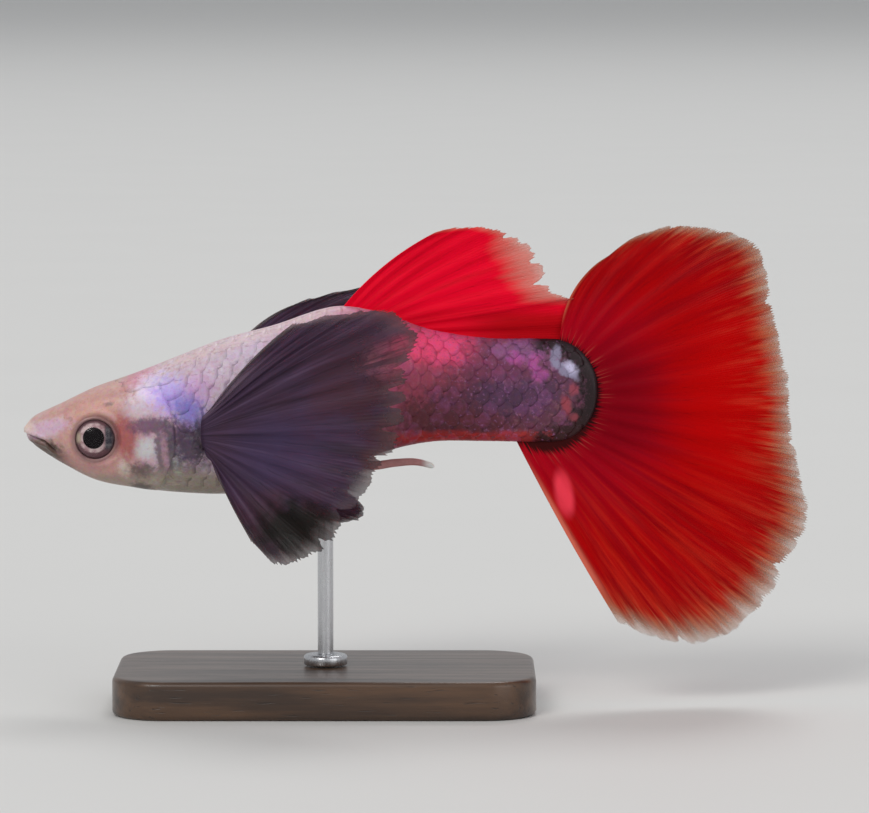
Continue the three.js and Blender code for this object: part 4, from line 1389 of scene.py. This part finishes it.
class GUPPY_OT_red_fins(bpy.types.Operator):
    """Makes the tail fin and the dorsal fin with their rays"""

    bl_idname = "guppy.red_fins"
    bl_label = "Red fins"

    def execute(self, context):
        settings = context.scene.guppy_fins
        tree = rays_tree()
        red, rose = tail_fin_material(settings), dorsal_fin_material()
        make_fin(tail_fin(), "tail_fin", settings, red, tree, "red_fin", "caudal_fin")
        make_fin(dorsal_fin(), "dorsal_fin", settings, rose, tree, "red_fin", "dorsal_fin")
        return {"FINISHED"}


class GUPPY_OT_dark_fins(bpy.types.Operator):
    """Makes the pectoral and pelvic fins of both sides with their rays"""

    bl_idname = "guppy.dark_fins"
    bl_label = "Dark fins"

    def execute(self, context):
        settings = context.scene.guppy_fins
        tree = rays_tree()
        wide = dark_fin_material("guppy pectoral fin", settings, olive_low=True)
        small = dark_fin_material("guppy pelvic fin", settings, olive_low=False)
        for word, side in (("left", -1), ("right", 1)):
            for fin, kind, material in (
                (pectoral_fin(side), "pectoral", wide), (pelvic_fin(side), "pelvic", small),
            ):
                make_fin(fin, f"{kind}_{word}", settings, material, tree, "dark_fin", f"{kind}_fin_{word}")
        return {"FINISHED"}


def gonopodium_material():
    material, p = new_material("guppy gonopodium")
    place, x, _, _ = p.fish_place()
    colour = p.mix(p.noise(place, 3.0), (0.52, 0.24, 0.24), (0.34, 0.13, 0.12))
    colour = p.mix(p.step(x, 22.6, 23.2), colour, (0.75, 0.76, 0.74))
    normal = p.bump(p.noise(place, 12.0, 2.0), 0.00002, 0.5)
    finish_material(p, {"Base Color": colour, "Roughness": 0.35, "Normal": normal, "Subsurface Weight": 0.2,
                        "Subsurface Scale": 0.0002})
    return material


def build_gonopodium():
    """Three rays side by side that taper along a bent line."""
    middle = [(18.7, -1.9), (19.9, -2.15), (21.2, -2.0), (22.4, -1.95), (23.45, -2.2)]
    line = through(side_line(middle), 60)
    t = np.linspace(0, 1, len(line))
    depth = 0.27 * (1 - 0.4 * t) * round_end(1.0 - t, 0.06)
    angle = turns(20)
    flatness = 0.62
    ridge = 1 + 0.14 * np.cos(3 * angle)
    outline = np.stack([np.zeros_like(angle), flatness * ridge * np.cos(angle), ridge * np.sin(angle)], 1)
    rings = [centre + size * outline for centre, size in zip(line[:-1], depth)]
    return lofted("gonopodium_rod", rings, line[0], line[-1])


class GUPPY_OT_gonopodium(bpy.types.Operator):
    """Makes the male's rod-like anal fin: three rays side by side, hooked at the tip"""

    bl_idname = "guppy.gonopodium"
    bl_label = "Gonopodium"

    def execute(self, context):
        place_piece(build_gonopodium(), gonopodium_material(), "skin", "gonopodium")
        return {"FINISHED"}


# Stand
class GuppyStand(bpy.types.PropertyGroup):
    wood_dark: colour_setting("Dark grain", "Dark bands of the wood", (0.030, 0.014, 0.007))
    wood_light: colour_setting("Light grain", "Light bands of the wood", (0.105, 0.052, 0.025))
    edge_round: length_setting("Edge round", "Radius of the base's edges", 0.0003)


def wood_material(settings):
    material, p = new_material("stand wood")
    place = p.own_place()
    rings = p.grain(place, (60.0, 900.0, 900.0), 5.0, 0.6) + p.grain(place, (90.0, 300.0, 300.0)) * 0.4
    colour = p.mix(p.step(rings, 0.5, 0.95), settings.wood_dark, settings.wood_light)
    pores = p.step(p.grain(place, (500.0, 7000.0, 7000.0), 2.0), 0.62, 0.7)
    colour = p.mix(pores * 0.6, colour, (0.012, 0.006, 0.003))
    normal = p.bump(rings - pores * 0.8, 0.00003, 0.5)
    finish_material(p, {
        "Base Color": colour, "Roughness": p.step(rings, 0.3, 1.0, 0.42, 0.3), "Normal": normal,
        "Coat Weight": 0.25, "Coat Roughness": 0.2,
    })
    return material


def steel_material():
    material, p = new_material("stand steel")
    brushed = p.grain(p.own_place(), (9000.0, 9000.0, 1500.0))
    colour = p.mix(brushed, (0.52, 0.53, 0.55), (0.66, 0.66, 0.68))
    finish_material(p, {
        "Base Color": colour, "Metallic": 1.0, "Roughness": p.step(brushed, 0.3, 0.7, 0.22, 0.36),
        "Normal": p.bump(brushed, 0.000005, 0.6),
    })
    return material


def rounded_outline(half_x, half_y, corner, steps=12):
    """Points round a rectangle with rounded corners."""
    points = []
    for k, (sx, sy) in enumerate(((1, 1), (-1, 1), (-1, -1), (1, -1))):
        for a in np.linspace(k * np.pi / 2, (k + 1) * np.pi / 2, steps):
            points.append((sx * (half_x - corner) + corner * math.cos(a),
                           sy * (half_y - corner) + corner * math.sin(a)))
    return np.array(points)


def build_base(settings):
    """The flat base: its rounded outline is drawn in and out by a profile with eased edges."""
    low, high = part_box("stand_base")
    middle, half = (low + high) / 2, (high - low) / 2
    corner, least_corner, flat_width = 0.003, 0.0002, 0.0004
    edge = settings.edge_round
    arc = np.linspace(0, np.pi / 2, 6)
    profile = [(edge * (1 - math.sin(a)), low.z + edge * (1 - math.cos(a))) for a in arc]
    profile += [(edge * (1 - math.cos(a)), high.z - edge * (1 - math.sin(a))) for a in arc]
    profile += [(edge + flat_width, high.z), (half.y * 0.5, high.z)]
    rings = []
    for inset, z in profile:
        outline = rounded_outline(half.x - inset, half.y - inset, max(corner - inset, least_corner))
        heights = np.full(len(outline), z)
        rings.append(to_fish(np.column_stack([outline + middle.xy, heights])))
    ends = to_fish([(middle.x, middle.y, low.z), (middle.x, middle.y, high.z)])
    return lofted("display_base", rings, *ends)


class GUPPY_OT_stand(bpy.types.Operator):
    """Makes the display stand: a wooden base with a steel rod, collar and cup"""

    bl_idname = "guppy.stand"
    bl_label = "Display stand"

    def execute(self, context):
        settings = context.scene.guppy_stand
        place_piece(build_base(settings), wood_material(settings), "stand_wood", "stand_base")
        steel = steel_material()
        low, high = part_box("stand_rod")
        foot = to_fish([(low.x + high.x) / 2, (low.y + high.y) / 2, low.z])
        # The rod ends a little inside the cup
        radius, bevel, in_cup = 0.45, 0.02, 0.3
        top = (high.z - low.z) / MM + in_cup
        up = (0.0, 0.0, 1.0)
        rod = [(0, 0.0), (radius, 0.0), (radius, bevel), (radius, top - bevel), (radius, top), (0, top)]
        collar = [(0, 0.0), (1.2, 0.0), (1.25, 0.04), (1.25, 0.42), (1.22, 0.5), (1.15, 0.56), (1.02, 0.6),
                  (0.62, 0.6), (0.56, 0.57), (0.5, 0.5), (0.48, 0.4), (0, 0.4)]
        place_piece(turned_piece("steel_rod", rod, foot, up, 40), steel, "stand_steel", "stand_rod")
        place_piece(turned_piece("steel_collar", collar, foot, up, 56), steel, "stand_steel", "stand_collar")
        dress(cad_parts["stand_cup"], steel)
        return {"FINISHED"}


# Stage
class GuppyStage(bpy.types.PropertyGroup):
    lens: FloatProperty(name="Lens", description="Focal length in millimetres", default=217.0)
    elevation: FloatProperty(name="Elevation", description="How far the camera looks down",
                             default=math.radians(5.0), subtype="ANGLE", unit="ROTATION")
    floor_colour: colour_setting("Floor", "Colour of the floor", (0.68, 0.675, 0.66))


# The photo's frame in pixels, and where the snout tip and the tail's rear edge stand in it
PHOTO_WIDTH, PHOTO_HEIGHT = 869, 813
SNOUT_PIXEL = (24, 428)
FISH_PIXELS = 788
FISH_LENGTH = 45.0


def aim(thing, place, direction):
    """Puts a lamp or the camera at a place, looking along a direction."""
    thing.location = place
    thing.rotation_mode = "QUATERNION"
    thing.rotation_quaternion = direction.to_track_quat("-Z", "Y")


def add_light(name, place, size, power, colour=(1.0, 1.0, 1.0)):
    data = bpy.data.lights.new(name, "AREA")
    data.size = size
    data.energy = power
    data.color = colour
    target = Vector(to_frame((22.0, 0.0, 0.0)))
    place = target + Vector(place)
    aim(show(name, data), place, target - place)


def floor_material(settings):
    material, p = new_material("floor")
    shade = p.mix(p.noise(p.own_place(), 40.0), settings.floor_colour, (0.66, 0.655, 0.64))
    finish_material(p, {"Base Color": shade, "Roughness": 0.7})
    return material


def build_floor(settings):
    """A wide round floor."""
    sides, radius = 96, 12.0
    angle = turns(sides)
    rim = np.column_stack([radius * np.cos(angle), radius * np.sin(angle), np.zeros(sides)])
    faces = [(s, (s + 1) % sides, sides) for s in range(sides)]
    mesh = bpy.data.meshes.new("floor")
    mesh.from_pydata([*rim.tolist(), (0.0, 0.0, 0.0)], [], faces)
    mesh.materials.append(floor_material(settings))
    return show("floor", mesh)


def build_world():
    """Even, slightly cool light from all round."""
    world = bpy.data.worlds.new("studio")
    world.use_nodes = True
    background = world.node_tree.nodes["Background"].inputs
    background[0].default_value = (0.95, 0.97, 1.0, 1.0)
    background[1].default_value = 0.5
    return world


def build_camera(settings):
    """A camera that sees the fish where it stands in the photo."""
    pixel = FISH_LENGTH / FISH_PIXELS
    middle = Vector(to_frame((
        (PHOTO_WIDTH / 2 - SNOUT_PIXEL[0]) * pixel, 0.0, (SNOUT_PIXEL[1] - PHOTO_HEIGHT / 2) * pixel)))
    data = bpy.data.cameras.new("camera")
    data.lens = settings.lens
    data.sensor_width = 36.0
    data.clip_start, data.clip_end = 0.01, 50.0
    distance = PHOTO_WIDTH * pixel * MM * settings.lens / data.sensor_width
    back = Vector((0.0, -math.cos(settings.elevation), math.sin(settings.elevation)))
    camera = show("camera", data)
    aim(camera, middle + back * distance, -back)
    return camera


class GUPPY_OT_stage(bpy.types.Operator):
    """Makes the floor, the lights and the camera at the photo's angle"""

    bl_idname = "guppy.stage"
    bl_label = "Stage"

    def execute(self, context):
        scene, settings = context.scene, context.scene.guppy_stage
        scene.view_settings.view_transform = "Standard"
        scene.view_settings.look = "None"
        floor = build_floor(settings)
        scene.world = build_world()
        add_light("key", (-0.8, -1.5, 1.4), 0.9, 19.0, (1.0, 0.98, 0.95))
        add_light("fill", (1.5, -1.5, 0.7), 1.4, 7.0)
        add_light("rim", (0.3, 1.1, 1.9), 0.9, 12.0)
        scene.camera = build_camera(settings)
        return {"FINISHED"}


class GUPPY_PT_panel(bpy.types.Panel):
    """Lists the steps that build the guppy"""

    bl_idname = "GUPPY_PT_panel"
    bl_label = "Fancy guppy"
    bl_space_type = "VIEW_3D"
    bl_region_type = "UI"
    bl_category = "Guppy"

    def draw(self, context):
        for _, step in STEPS:
            self.layout.operator(step.bl_idname)
        for name in SETTINGS:
            group = getattr(context.scene, name)
            box = self.layout.box()
            for key in type(group).__annotations__:
                box.prop(group, key)


SETTINGS = {
    "guppy_body": GuppyBody,
    "guppy_eyes": GuppyEyes,
    "guppy_fins": GuppyFins,
    "guppy_stand": GuppyStand,
    "guppy_stage": GuppyStage,
}
STEPS = (
    ("skin_and_scales", GUPPY_OT_skin_and_scales),
    ("eyes", GUPPY_OT_eyes),
    ("red_fins", GUPPY_OT_red_fins),
    ("dark_fins", GUPPY_OT_dark_fins),
    ("gonopodium", GUPPY_OT_gonopodium),
    ("stand", GUPPY_OT_stand),
    ("stage", GUPPY_OT_stage),
)


def register():
    for name, group in SETTINGS.items():
        bpy.utils.register_class(group)
        setattr(bpy.types.Scene, name, PointerProperty(type=group))
    for _, step in STEPS:
        bpy.utils.register_class(step)
    bpy.utils.register_class(GUPPY_PT_panel)


def unregister():
    bpy.utils.unregister_class(GUPPY_PT_panel)
    for _, step in reversed(STEPS):
        bpy.utils.unregister_class(step)
    for name, group in SETTINGS.items():
        delattr(bpy.types.Scene, name)
        bpy.utils.unregister_class(group)


def main():
    register()
    for name, _ in STEPS:
        if getattr(bpy.ops.guppy, name)() != {"FINISHED"}:
            raise RuntimeError(f"the step {name} didn't finish")


if __name__ == "__main__":
    main()
